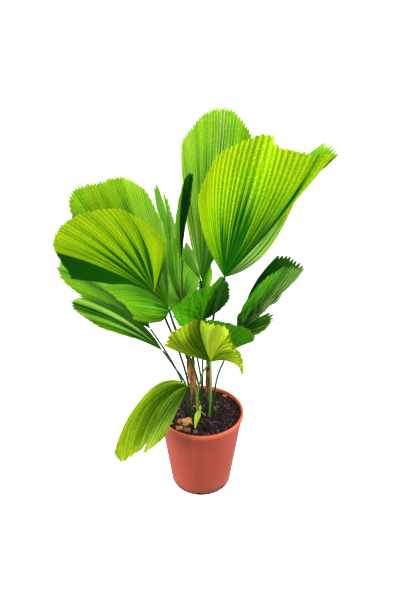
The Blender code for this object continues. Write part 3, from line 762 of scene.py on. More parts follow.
LEAVES = (
    Leaf(
        "tall_back", (0.002, 0.08, 0.326),
        (
            (-141, 78, 0.2), (-168, 81, 0.302), (180, 84, 0.345), (79, 87, 0.382), (29, 81, 0.395),
            (18, 75, 0.372), (19, 68, 0.323), (28, 57, 0.23),
        ),
        (0.0, 0.05), 0.04, (0.62, 0.15), ((-0.009, 0.056, 0.21),), 1.0, "thick_trunk",
        Look(
            Tone.BRIGHT, 46, 0.008, 0.014, hub_lift=0.25,
            bands=(
                (0.0, 0.1), (0.1, 0.0), (0.15, -0.25), (0.18, 0.0), (0.24, -0.1), (0.27, -0.35),
                (0.31, -0.15), (0.35, -0.35), (0.42, -0.15), (0.46, -0.55), (0.5, -0.2),
                (0.53, -0.4), (0.58, -0.15), (0.62, -0.4), (0.7, -0.2), (1.0, -0.35),
            ),
            painted_sheen=(
                (0.0, 0.1), (0.15, 0.4), (0.3, 0.1), (0.44, 0.3), (0.45, 0.8), (0.47, 0.8),
                (0.48, 0.3), (0.62, 0.0), (1.0, 0.0),
            ),
            scars=((0.405, 0.9, 0.6, 0.008), (0.445, 0.87, 0.6, 0.009)),
        ),
    ),
    Leaf(
        "front_right", (0.047, -0.09, 0.412),
        (
            (-170, 73, 0.185), (-116, 80, 0.262), (-64, 77, 0.296), (-45, 73, 0.309),
            (-36, 67, 0.304), (-21, 58, 0.315), (-6, 52, 0.327), (18, 53, 0.318), (35, 43, 0.262),
            (38, 31, 0.225),
        ),
        (0.11, 0.25), 0.04, (0.44, -0.18), ((0.027, -0.02, 0.28),), 1.1, "slim_trunk",
        Look(
            Tone.FRESH, 54, 0.0055, 0.01, hub_lift=-0.28,
            bands=(
                (0.0, 0.45), (0.1, 0.38), (0.22, 0.1), (0.3, 0.0), (0.4, 0.12), (0.465, 0.05),
                (0.49, -0.6), (0.515, 0.15), (0.56, 0.15), (0.59, -0.45), (0.74, -0.55), (0.8, 0.2),
                (1.0, 0.05),
            ),
            painted_sheen=((0.0, 0.0), (0.74, 0.0), (0.8, 0.4), (0.88, 0.9), (0.95, 0.5), (1.0, 0.1)),
            long_teeth=((0.565, 0.8, 0.034),),
            lobes=((0.26, 0.325, 0.01), (0.55, 0.66, 0.006), (0.66, 0.8, 0.016)),
        ),
    ),
    Leaf(
        "left_back", (-0.076, 0.03, 0.277),
        (
            (-171, 48, 0.292), (-172, 52, 0.332), (-174, 57, 0.35), (180, 64, 0.335),
            (171, 73, 0.323), (155, 80, 0.282), (126, 83, 0.212), (74, 81, 0.136),
        ),
        (0.05, 0.04), 0.04, (-0.62, 0.1), ((-0.062, 0.034, 0.221),), 1.0, "thick_trunk",
        Look(
            Tone.BRIGHT, 42, 0.007, 0.014, hub_lift=0.05,
            bands=(
                (0.0, -0.1), (0.12, 0.05), (0.2, -0.35), (0.24, 0.1), (0.33, 0.15), (0.36, -0.1),
                (0.4, 0.2), (0.45, 0.15), (0.5, -0.25), (0.56, 0.15), (0.68, 0.1), (0.8, -0.25),
                (1.0, -0.35),
            ),
            painted_sheen=((0.0, 0.5), (0.08, 0.35), (0.16, 0.0), (0.5, 0.1), (0.75, 0.35), (1.0, 0.1)),
        ),
    ),
    Leaf(
        "left_front", (-0.101, -0.06, 0.363),
        (
            (170, 6, 0.182), (-174, 25, 0.214), (-162, 36, 0.243), (-149, 48, 0.259),
            (-133, 58, 0.255), (-114, 65, 0.232), (-87, 68, 0.186), (-52, 69, 0.14),
        ),
        (0.09, 0.1), 0.06, (-0.027, 0.058),
        ((-0.037, 0.049, 0.08), (-0.055, 0.01, 0.18), (-0.082, -0.03, 0.289)), 1.0, "soil",
        Look(
            Tone.FRESH, 50, 0.0045, 0.012, hub_lift=-0.4,
            bands=(
                (0.0, -0.85), (0.06, -1.2), (0.12, -0.8), (0.17, -1.2), (0.22, -0.95),
                (0.265, -1.1), (0.285, 0.3), (0.33, 0.6), (0.355, -0.05), (0.38, 0.5), (0.41, 0.1),
                (0.44, 0.5), (0.47, -0.15), (0.5, 0.55), (0.53, -0.2), (0.56, 0.5), (0.585, 0.55),
                (0.61, -0.15), (0.64, 0.5), (0.67, 0.55), (0.7, -0.05), (0.73, 0.55), (0.775, -0.2),
                (0.8, 0.8), (0.86, 1.0), (0.88, 0.6), (0.93, 1.0), (0.96, 0.2), (1.0, -0.1),
            ),
        ),
    ),
    Leaf(
        "left_small", (-0.067, -0.1, 0.34),
        ((-159, 32, 0.163), (-146, 31, 0.146), (-137, 27, 0.122), (-138, 11, 0.092)), (0.17, 0.14),
        0.05, (0.004, 0.03), ((-0.016, 0.004, 0.126), (-0.055, -0.062, 0.273)), 0.9, "soil",
        Look(
            Tone.MIDDLE, 22, 0.005, 0.01, 0.04, hub_lift=0.35,
            bands=((0.0, -0.15), (0.3, -0.2), (0.7, -0.05), (1.0, -0.3)),
            painted_sheen=((0.0, 0.1), (0.5, 0.0), (1.0, 0.0)), crinkle=0.0012, rounding=0.6,
        ),
    ),
    Leaf(
        "left_low", (-0.119, 0.02, 0.229),
        (
            (165, 50, 0.239), (174, 43, 0.26), (-177, 38, 0.258), (-171, 36, 0.235),
            (-165, 34, 0.188),
        ),
        (0.12, 0.02), 0.04, (-0.029, 0.004), ((-0.046, 0.004, 0.088), (-0.075, 0.01, 0.155)), 0.85,
        "soil",
        Look(
            Tone.MIDDLE, 24, 0.012, 0.012, hub_lift=0.2,
            bands=(
                (0.0, 0.35), (0.15, 0.0), (0.3, 0.4), (0.38, -0.1), (0.5, 0.45), (0.62, -0.3),
                (0.75, 0.2), (1.0, -0.2),
            ),
            painted_sheen=((0.0, 1.0), (0.3, 0.8), (0.6, 0.3), (1.0, 0.0)),
        ),
    ),
    Leaf(
        "left_lowest", (-0.087, -0.05, 0.212),
        (
            (175, 46, 0.162), (180, 39, 0.215), (-174, 35, 0.238), (-167, 34, 0.214),
            (-159, 33, 0.167), (-157, 35, 0.095),
        ),
        (0.08, 0.02), 0.04, (-0.022, -0.01), ((-0.037, -0.02, 0.099), (-0.063, -0.036, 0.161)),
        0.85, "soil",
        Look(
            Tone.MIDDLE, 24, 0.011, 0.012,
            bands=(
                (0.0, -0.65), (0.3, -0.55), (0.36, 0.4), (0.42, 0.4), (0.5, -0.6), (0.6, -0.4),
                (0.64, 0.45), (0.7, 0.3), (0.8, -0.4), (1.0, 0.3),
            ),
            painted_sheen=(
                (0.0, 0.1), (0.32, 0.2), (0.36, 1.0), (0.42, 0.9), (0.5, 0.0), (0.62, 0.1),
                (0.66, 0.8), (0.75, 0.0), (1.0, 0.0),
            ),
        ),
    ),
    Leaf(
        "back_narrow", (-0.039, 0.11, 0.306),
        (
            (-148, 71, 0.171), (-171, 73, 0.225), (171, 75, 0.252), (137, 74, 0.209),
            (113, 67, 0.141),
        ),
        (0.05, 0.03), 0.04, (-0.2, 0.62), ((-0.031, 0.086, 0.212),), 1.0, "thick_trunk",
        Look(
            Tone.LUSH, 14, 0.01, 0.008, hub_lift=0.4,
            bands=((0.0, 0.5), (0.45, 0.5), (0.5, 0.0), (0.56, 0.4), (1.0, 0.6)),
            painted_sheen=((0.0, 1.2), (0.45, 1.1), (0.5, 0.4), (0.58, 1.5), (1.0, 2.0)),
            splits=((0.5, 0.35, 0.8),),
        ),
    ),
    Leaf(
        "centre_edge", (-0.043, 0.02, 0.405),
        ((-95, 57, 0.166), (-82, 73, 0.204), (-40, 81, 0.201), (28, 80, 0.125)), (0.04, 0.04), 0.03,
        (-0.3, -0.56), ((-0.043, 0.022, 0.304),), 0.9, "thick_trunk",
        Look(
            Tone.LUSH, 16, 0.004, 0.006, hub_lift=0.2,
            bands=(
                (0.0, 0.4), (0.42, 0.3), (0.46, -1.0), (0.6, -0.6), (0.68, -0.9), (0.8, -0.6),
                (1.0, -0.9),
            ),
        ),
        BROWN_STALK,
    ),
    Leaf(
        "centre_back", (-0.046, 0.05, 0.285),
        (
            (-123, -42, 0.036), (-132, 6, 0.046), (-146, 56, 0.065), (-153, 73, 0.114),
            (-168, 81, 0.157), (141, 87, 0.158), (45, 75, 0.107), (35, 46, 0.075), (26, 33, 0.056),
        ),
        (0.08, 0.03), 0.03, (0.006, 0.062), ((-0.009, 0.06, 0.119),), 0.9, "soil",
        Look(
            Tone.LUSH, 40, 0.006, 0.012, hub_lift=0.25,
            bands=(
                (0.0, 0.35), (0.45, 0.15), (0.55, 0.35), (0.62, -0.2), (0.7, 0.15), (0.85, 0.0),
                (1.0, 0.1),
            ),
            painted_sheen=(
                (0.0, 0.3), (0.45, 0.2), (0.55, 0.7), (0.62, 0.1), (0.7, 0.4), (0.8, 0.1),
                (1.0, 0.5),
            ),
        ),
    ),
    Leaf(
        "centre_narrow", (-0.002, 0.04, 0.349),
        ((-139, 48, 0.074), (-142, 60, 0.096), (-141, 69, 0.112)), (0.03, 0.07), 0.02,
        (0.36, -0.51), ((-0.01, 0.036, 0.23),), 0.8, "thick_trunk",
        Look(
            Tone.LUSH, 10, 0.005, 0.006, hub_lift=0.1,
            bands=(
                (0.0, 0.2), (0.15, 0.4), (0.25, -0.5), (0.4, 0.3), (0.5, -0.4), (0.6, 0.3),
                (0.7, -0.2), (1.0, 0.4),
            ),
            painted_sheen=((0.0, 0.2), (0.6, 0.1), (0.75, 0.8), (1.0, 1.2)),
        ),
    ),
    Leaf(
        "centre_far", (0.004, 0.1, 0.287),
        ((90, 72, 0.097), (50, 70, 0.075), (0, 64, 0.053), (-47, 46, 0.039)), (0.03, 0.03), 0.03,
        (-0.4, 0.33), ((0.012, 0.08, 0.192),), 0.8, "slim_trunk",
        Look(Tone.LUSH, 20, 0.004, 0.008, bands=((0.0, 0.1), (0.5, 0.3), (0.8, 0.0), (1.0, 0.3))),
    ),
    Leaf(
        "centre_cup", (-0.001, -0.01, 0.262),
        (
            (-136, 15, 0.075), (-142, 36, 0.101), (-139, 51, 0.096), (-114, 71, 0.101),
            (-46, 75, 0.106), (12, 67, 0.123), (38, 41, 0.109), (42, 18, 0.093), (44, 7, 0.06),
        ),
        (0.05, 0.05), 0.06, (0.004, 0.014), ((0.003, 0.004, 0.15),), 0.8, "soil",
        Look(
            Tone.DEEP, 40, 0.005, 0.024, crinkle=0.0045, hub_lift=0.4,
            bands=(
                (0.0, 0.6), (0.25, 0.6), (0.35, 0.5), (0.55, 0.5), (0.6, 0.8), (0.66, -0.15),
                (1.0, -0.2),
            ),
        ),
    ),
    Leaf(
        "right_tall", (0.092, 0.03, 0.218),
        (
            (35, 59, 0.2), (24, 54, 0.211), (4, 49, 0.214), (-23, 61, 0.207), (-49, 65, 0.19),
            (-76, 64, 0.141),
        ),
        (0.1, 0.18), 0.04, (0.029, -0.004), ((0.035, 0.002, 0.083), (0.05, 0.01, 0.136)), 0.9,
        "soil",
        Look(
            Tone.DEEP, 26, 0.011, 0.016,
            bands=((0.0, -0.5), (0.32, -0.45), (0.36, -0.4), (0.6, -0.3), (0.8, 0.2), (1.0, 0.3)),
            painted_sheen=((0.0, 0.0), (0.33, 0.0), (0.36, 0.55), (0.5, 0.4), (0.58, 0.1), (1.0, 0.0)),
            crinkle=0.0055, scars=((0.83, 0.98, 0.8, 0.02),),
        ),
    ),
    Leaf(
        "right_low", (0.016, -0.03, 0.164),
        (
            (-144, 74, 0.127), (-100, 77, 0.139), (-56, 71, 0.146), (-30, 57, 0.148),
            (-16, 42, 0.143), (-6, 34, 0.125),
        ),
        (0.1, 0.02), 0.04, (-0.01, 0.016), ((-0.007, 0.008, 0.062), (0.003, -0.01, 0.124)), 0.8,
        "soil",
        Look(
            Tone.DEEP, 30, 0.006, 0.014, hub_lift=0.3,
            bands=((0.0, -0.2), (0.4, 0.05), (1.0, 0.15)),
        ),
        MOSS_STALK,
    ),
    Leaf(
        "front_small", (0.021, -0.08, 0.202),
        (
            (-154, 32, 0.134), (-146, 48, 0.154), (-137, 61, 0.147), (-105, 68, 0.139),
            (-67, 66, 0.133), (-62, 49, 0.14), (-50, 35, 0.129), (-44, 10, 0.104),
        ),
        (0.08, -0.09), 0.07, (0.02, -0.014), ((0.023, -0.04, 0.106),), 0.9, "soil",
        Look(
            Tone.YOUNG, 26, 0.01, 0.016, hub_lift=0.35,
            bands=(
                (0.0, 0.1), (0.15, -0.2), (0.31, -0.35), (0.345, -0.8), (0.36, 0.75), (0.58, 0.7),
                (0.6, -0.5), (0.7, -0.2), (1.0, -0.2),
            ),
            long_teeth=((0.36, 0.6, 0.013), (0.13, 0.34, 0.003)),
            curl=((0.0, 0.0), (0.6, 0.0), (0.68, -1.4), (0.92, -1.6), (1.0, -1.0)), curl_start=0.8,
            painted_sheen=((0.0, 0.0), (0.36, 0.0), (0.4, 0.45), (0.56, 0.35), (0.6, 0.0), (1.0, 0.0)),
            bulge=(
                (0.0, 0.0), (0.18, -0.1), (0.36, 0.07), (0.46, -0.03), (0.6, 0.06), (0.75, -0.04),
                (1.0, 0.0),
            ),
            crinkle=0.0015,
            scars=((0.03, 0.97, 0.8, 0.03), (0.1, 0.99, 0.5, 0.02), (0.98, 0.96, 0.8, 0.05)),
        ),
        LIGHT_STALK,
    ),
    Leaf(
        "drooping", (-0.03, -0.04, 0.109),
        (
            (-144, -20, 0.202), (-144, -27, 0.228), (-141, -33, 0.229), (-136, -34, 0.19),
            (-131, -35, 0.188), (-125, -35, 0.157), (-117, -30, 0.13),
        ),
        (0.34, 0.12), 0.06, (-0.01, 0.003), ((-0.012, -0.002, 0.058), (-0.019, -0.018, 0.091)), 0.8,
        "soil",
        Look(
            Tone.OLIVE, 24, 0.009, 0.01, hub_lift=0.45,
            bands=((0.0, 0.25), (0.25, 0.1), (0.55, 0.0), (1.0, 0.05)),
            painted_sheen=((0.0, 0.0), (0.5, 0.05), (0.7, 0.3), (1.0, 0.2)), splits=((0.56, 0.32, 1.0),),
            rounding=0.75, long_teeth=((0.1, 0.48, 0.013),),
        ),
        MOSS_STALK,
    ),
)

SPLIT_SEGMENT = Leaf(
    "right_segment", (0.092, 0.03, 0.218),
    ((16, 30, 0.085), (7, 22, 0.087), (-8, 17, 0.075), (-35, 7, 0.052)), (0.05, 0.1), 0.04,
    (0.0, 0.0), (), 0.0, "",
    Look(
        Tone.DEEP, 11, 0.011, 0.008, bands=((0.0, -0.1), (0.5, 0.05), (1.0, 0.2)),
        scars=((0.4, 0.62, 0.3, 0.3),),
    ),
)


@dataclass
class Blade:
    """The pleated, toothed fan of a leaf."""

    leaf: Leaf
    column_steps: int = 6
    rows: int = 30
    thickness: float = 0.0004
    start: float = 0.0012
    pleat_slope: float = 0.12
    margin_crowding: float = 1.25

    wave_counts: tuple = (1.5, 2.6, 4.3, 7.1, 11.7)

    # How far each point of a pleat stands back: a blunt tooth with a notch, and a thin one.
    tooth_shape: tuple = (1.0, 0.45, 0.0, 0.16, 0.0, 0.45)
    spike_shape: tuple = (1.0, 0.85, 0.42, 0.0, 0.42, 0.85)

    def build(self, material: bpy.types.Material) -> bpy.types.Object:
        """Shape the blade and dress it.

        Args:
            material: the leaf's finish.

        Returns:
            The finished blade.
        """
        pleats = self.leaf.look.pleats
        columns = pleats * self.column_steps + 1
        piece, across, along = sheet_grid("blade_" + self.leaf.name, columns, self.rows)
        share = 1.0 - (1.0 - along) ** self.margin_crowding
        set_points(piece, self._places(across, share))
        lay_uv(piece, "fan", across * pleats, share)
        look = self.leaf.look
        # Painted light and shade across the fan, lifted or deepened towards the hub.
        lift = look.hub_lift * (1.0 - share)
        keep_number(piece, "shade", np.interp(across, *zip(*look.bands)) + lift)
        keep_number(piece, "scar", self._scars(across, share))
        # A painted silvery sheen, standing for the lamps' gloss, fading in from the hub.
        fade = np.clip(share * 3.0, 0.0, 1.0)
        keep_number(piece, "painted_sheen", np.interp(across, *zip(*look.painted_sheen)) * fade)
        apply_modifier(piece, "SOLIDIFY", thickness=self.thickness, offset=0.0)
        smooth(piece, 22.0)
        settle(piece, material, ["leaf_" + self.leaf.name])
        return piece

    def _tips(self) -> np.ndarray:
        """The key ribs as vectors from the hub."""
        bearing, rise, length = np.array(self.leaf.ribs, float).T
        bearing, rise = np.radians(bearing), np.radians(rise)
        flat = np.cos(rise)
        heads = np.stack([flat * np.cos(bearing), flat * np.sin(bearing), np.sin(rise)], -1)
        return heads * length[:, None]

    def _even(self, ribs: np.ndarray, across: np.ndarray) -> tuple[np.ndarray, float]:
        """Where on the margin's curve to read, so that the pleats are evenly wide.

        Args:
            ribs: the key ribs.
            across: shares across the fan.

        Returns:
            The places on the curve, and the fan's whole angle.
        """
        fine = np.linspace(0.0, 1.0, 600)
        heads = unit(spline(ribs, fine))
        steps = np.linalg.norm(np.diff(heads, axis=0), axis=1)
        turned = np.concatenate([[0.0], np.cumsum(steps)])
        return np.interp(across * turned[-1], turned, fine), float(turned[-1])

    def _places(self, across: np.ndarray, share: np.ndarray) -> np.ndarray:
        """Where each point of the blade goes."""
        leaf, look = self.leaf, self.leaf.look
        ribs = self._tips()
        place, angle = self._even(ribs, across)
        tips = spline(ribs, place)
        step = 0.004
        ahead = spline(ribs, np.minimum(place + step, 1.0))
        behind = spline(ribs, np.maximum(place - step, 0.0))
        length = np.linalg.norm(tips, axis=1, keepdims=True)
        heading = tips / length
        off = unit(np.cross(tips, ahead - behind))
        aside = unit(np.cross(off, tips))
        sideways = (leaf.flare[1] * place - leaf.flare[0] * (1 - place))[:, None]
        s = share[:, None]
        margin = self._toothed(length[:, 0], across)
        reach, roll = self._rolled(margin, across, share)
        bow = length * 4 * s ** look.rounding * (1 - s)
        pitch = reach * angle / look.pleats
        phase = np.abs((across * look.pleats) % 1.0 * 2 - 1)
        fold = (phase * 2 - 1) * pitch * self.pleat_slope
        relief = fold + roll + self._waves(length[:, 0], across, share)
        arched = (off * leaf.arch + aside * sideways) * bow
        places = leaf.hub + CROWN + heading * reach[:, None] + arched
        places += off * relief[:, None]
        places[:, 2] -= look.droop * length[:, 0] * share ** 3
        return places

    def _rolled(self, margin: np.ndarray, across: np.ndarray,
                share: np.ndarray) -> tuple[np.ndarray, np.ndarray]:
        """Roll the blade's outer part over where its look says so.

        Args:
            margin: the blade's length at each point.
            across: shares across the fan.
            share: shares of the way to the margin.

        Returns:
            Each point's distance from the hub and its height off the blade's face.
        """
        look = self.leaf.look
        turn = np.interp(across, *zip(*look.curl))
        side = np.where(turn < 0, -1.0, 1.0)
        turn = np.maximum(np.abs(turn), 1e-3)
        outer = 1.0 - look.curl_start
        widest = np.where(turn < math.pi / 2, np.sin(turn) / turn, 1.0 / turn)
        arc = (margin - self.start) / (look.curl_start + outer * widest)
        rolled = np.clip(share - look.curl_start, 0.0, 1.0) / outer * turn
        radius = arc * outer / turn
        flat = np.minimum(share, look.curl_start) * arc
        return self.start + flat + radius * np.sin(rolled), side * radius * (1 - np.cos(rolled))

    def _toothed(self, length: np.ndarray, across: np.ndarray) -> np.ndarray:
        """The blade's length at each point, cut back between its teeth."""
        look = self.leaf.look
        rng = np.random.default_rng(SEED + len(self.leaf.name) * 7 + look.pleats)
        uneven = rng.normal(0.0, 0.0011, look.pleats + 1)
        step = np.rint(across * look.pleats * self.column_steps).astype(int)
        cut = np.array(self.tooth_shape)[step % self.column_steps]
        tooth = np.full_like(across, look.tooth)
        for first, last, size in look.long_teeth:
            inside = (across > first) & (across < last)
            tooth = np.where(inside, size, tooth)
            cut = np.where(inside, np.array(self.spike_shape)[step % self.column_steps], cut)
        for first, last, size in look.lobes:
            inside = np.clip((across - first) / (last - first), 0.0, 1.0)
            length = length + size * inside ** 0.5 * (across < last)
        pleat = np.minimum(step // self.column_steps, look.pleats)
        size = rng.uniform(0.7, 1.2, look.pleats + 1)[pleat]
        toothed = length + uneven[pleat] - cut * tooth * size
        for where, depth, half_width in look.splits:
            near = 1.0 - np.abs(across - where) * look.pleats / half_width
            toothed = toothed - np.clip(near, 0.0, 1.0) * depth * length
        return toothed

    def _scars(self, across: np.ndarray, share: np.ndarray) -> np.ndarray:
        """How much of a dry mark each point is in."""
        look = self.leaf.look
        scar = np.zeros_like(across)
        for place, where, half_width, half_length in look.scars:
            aside = (across - place) * look.pleats / half_width
            far = np.hypot(aside, (share - where) / half_length)
            scar = np.maximum(scar, 1.3 - far)
        return np.clip(scar, 0.0, 1.0)

    def _waves(self, length: np.ndarray, across: np.ndarray, share: np.ndarray) -> np.ndarray:
        """Slow waves over the blade that grow towards its margin."""
        look = self.leaf.look
        rng = np.random.default_rng(SEED + sum(map(ord, self.leaf.name)))
        wave = np.zeros_like(across)
        for count in self.wave_counts:
            start, slant = rng.uniform(0, math.tau), rng.uniform(-1.5, 1.5)
            wave += np.sin(math.tau * count * across + start + slant * share) / count ** 0.8
        swell = np.interp(across, *zip(*look.bulge)) * np.sin(math.pi * share * 0.8)
        wrinkle = np.zeros_like(across)
        if look.crinkle:
            spots = zip(across * look.pleats * 0.5, share * 9.0)
            wrinkle = np.array([noise.noise(Vector((x, y, 0.5))) for x, y in spots])
        ripple = wrinkle * look.crinkle * np.sin(math.pi * share)
        return (wave * look.wave * share ** 1.6 + swell) * length + ripple


@dataclass
class Trunk:
    """A short fibrous stem: its base and lean on the ground plan, its height and radius."""

    name: str
    base: tuple[float, float]
    lean: tuple[float, float]
    height: float
    radius: float
    top_flare: float
    flaps: int
    sides: int = 36
    rings: int = 44
    sunk: float = 0.010
    fibres_to_a_flap: int = 7
    bend_share: float = 0.35
    neck_share: float = 0.85
    stoutness: float = 1.18
    profile: tuple = ((-0.1, 1.18), (0.0, 1.12), (0.06, 0.98), (0.35, 0.90), (0.85, 1.04),
                      (1.0, 1.12))

    def top(self) -> np.ndarray:
        """The middle of the trunk's top."""
        x, y = np.add(self.base, self.lean)
        return np.array((x, y, SOIL_TOP + self.height))

    def axis(self, share: np.ndarray) -> np.ndarray:
        """The trunk's middle line, from the soil at 0 to its top at 1."""
        x, y = self.base
        bend = (x, y, SOIL_TOP + self.height * self.bend_share)
        below = self.top() - (0.0, 0.0, self.height * (1.0 - self.neck_share))
        line = np.array([(x, y, SOIL_TOP - self.sunk), (x, y, SOIL_TOP), bend, below, self.top()])
        marks = (-self.sunk / self.height, 0.0, self.bend_share, self.neck_share, 1.0)
        return np.stack([np.interp(share, marks, line[:, axis]) for axis in range(3)], -1)

    def girth(self, share: np.ndarray) -> np.ndarray:
        """The trunk's radius along it."""
        return self.radius * np.interp(share, *zip(*self.profile)) * self.stoutness

    def build(self, material: bpy.types.Material) -> None:
        """Shape the ridged core, its torn sheath flaps and loose fibres, as one piece."""
        rng = np.random.default_rng(SEED + self.flaps)
        share = np.linspace(-self.sunk / self.height, 1.0, self.rings)
        core = Tube(self.name + "_core", self.axis(share), self.girth(share), self.sides).build()
        places = points_of(core)
        for index, place in enumerate(places):
            ridge = noise.noise(Vector(place) * 420 * Vector((1, 1, 0.12)).length)
            fine = noise.noise(Vector((place[0] * 900, place[1] * 900, place[2] * 60)))
            middle = self.axis(np.array([(place[2] - SOIL_TOP) / self.height]))[0]
            places[index] += unit((place - middle) * (1, 1, 0)) * (0.0005 * fine + 0.0002 * ridge)
        set_points(core, places)
        keep_number(core, "shade", np.full(len(places), 0.3))
        parts = [core, *(self._flap(number, rng) for number in range(self.flaps))]
        parts += [self._fibre(number, rng) for number in range(self.flaps * self.fibres_to_a_flap)]
        trunk = join(parts, self.name + "_sheaths")
        smooth(trunk, 40.0)
        settle(trunk, material, [self.name])

    def _flap(self, number: int, rng: np.random.Generator) -> bpy.types.Object:
        """A torn leaf sheath that wraps part of the trunk and ends in a ragged point."""
        piece, across, along = sheet_grid(f"{self.name}_flap_{number}", 15, 16)
        low = 0.02 + 0.80 * number / self.flaps + rng.uniform(-0.03, 0.03)
        tall = rng.uniform(0.22, 0.34)
        turn = rng.uniform(0, math.tau) if number else -1.9
        half = rng.uniform(1.0, 1.5)
        narrow = 1.0 - 0.88 * along ** 1.4
        angle = turn + (across - 0.5) * 2 * half * narrow + 0.25 * along
        height = np.minimum(low + tall * along, 1.06)
        ragged = np.sin(across * 37 + number) * 0.012 * along ** 2
        swell = 1.05 + 0.10 * along ** 2 + 0.03 * np.sin(across * 19 + number * 2)
        reach = (self.girth(height) * swell)[:, None]
        out = np.stack([np.cos(angle), np.sin(angle), np.zeros_like(angle)], -1)
        places = self.axis(height + ragged) + out * reach
        set_points(piece, places)
        keep_number(piece, "shade", rng.uniform(0.1, 0.9) + 0.3 * along)
        apply_modifier(piece, "SOLIDIFY", thickness=0.0004, offset=1.0)
        return piece

    def _fibre(self, number: int, rng: np.random.Generator) -> bpy.types.Object:
        """A thin loose fibre that lies slantwise on the trunk."""
        low, tall = rng.uniform(0.0, 0.8), rng.uniform(0.08, 0.22)
        share = np.minimum(low + tall * np.linspace(0, 1, 9), 1.02)
        turn, slant = rng.uniform(0, math.tau), rng.uniform(-0.9, 0.9)
        angle = turn + slant * np.linspace(0, 1, 9)
        lift = 1.06 + 0.10 * np.sin(np.linspace(0, math.pi, 9)) * rng.uniform(0.2, 1.0)
        out = np.stack([np.cos(angle), np.sin(angle), np.zeros(9)], -1)
        path = self.axis(share) + out * (self.girth(share) * lift)[:, None]
        radii = np.linspace(0.00028, 0.00012, 9)
        piece = Tube(f"{self.name}_fibre_{number}", path, radii, 5).build()
        keep_number(piece, "shade", np.full(len(piece.data.vertices), rng.uniform(0.0, 1.4)))
        return piece


TRUNKS = {
    "thick_trunk": Trunk("thick_trunk", (-0.018, 0.041), (-0.0085, 0.0), 0.126, 0.0078, 1.25, 7),
    "slim_trunk": Trunk("slim_trunk", (0.017, 0.049), (0.0, 0.0), 0.098, 0.0050, 1.10, 5),
}


@dataclass
class Stalk:
    """The stalk that carries a leaf."""

    leaf: Leaf
    radius: float = 0.0027
    tip_share: float = 0.90
    lift: float = 0.003
    sunk: float = 0.008

    def build(self, material: bpy.types.Material) -> bpy.types.Object:
        """Shape the stalk, a little thicker at its foot and flattened at the blade."""
        leaf = self.leaf
        foot = self._foot()
        points = np.array([foot, *(point + CROWN for point in leaf.via),
                           leaf.hub + CROWN])
        path = np.vstack([foot - (0.0, 0.0, self.sunk), spline(points, np.linspace(0, 1, 34))])
        start = self.radius * leaf.girth
        end = min(start, self.radius) * self.tip_share
        share = np.linspace(0.0, 1.0, len(path))
        radii = start + (end - start) * share + 0.12 * start * np.exp(-share / 0.05)
        piece = Tube("petiole_" + leaf.name, path, radii, 14, oval=0.10).build()
        smooth(piece, 40.0)
        settle(piece, material, ["stalk_" + leaf.name])
        return piece

    def _foot(self) -> np.ndarray:
        """Where the stalk leaves the soil or the top of its trunk."""
        if self.leaf.bearer == "soil":
            return np.array((*self.leaf.root, SOIL_TOP + GAP))
        trunk = TRUNKS[self.leaf.bearer]
        reach = trunk.radius * trunk.top_flare
        x, y = self.leaf.root
        return trunk.top() + (x * reach, y * reach, GAP + self.lift)


# ---- pot and soil ---------------------------------------------------------------------


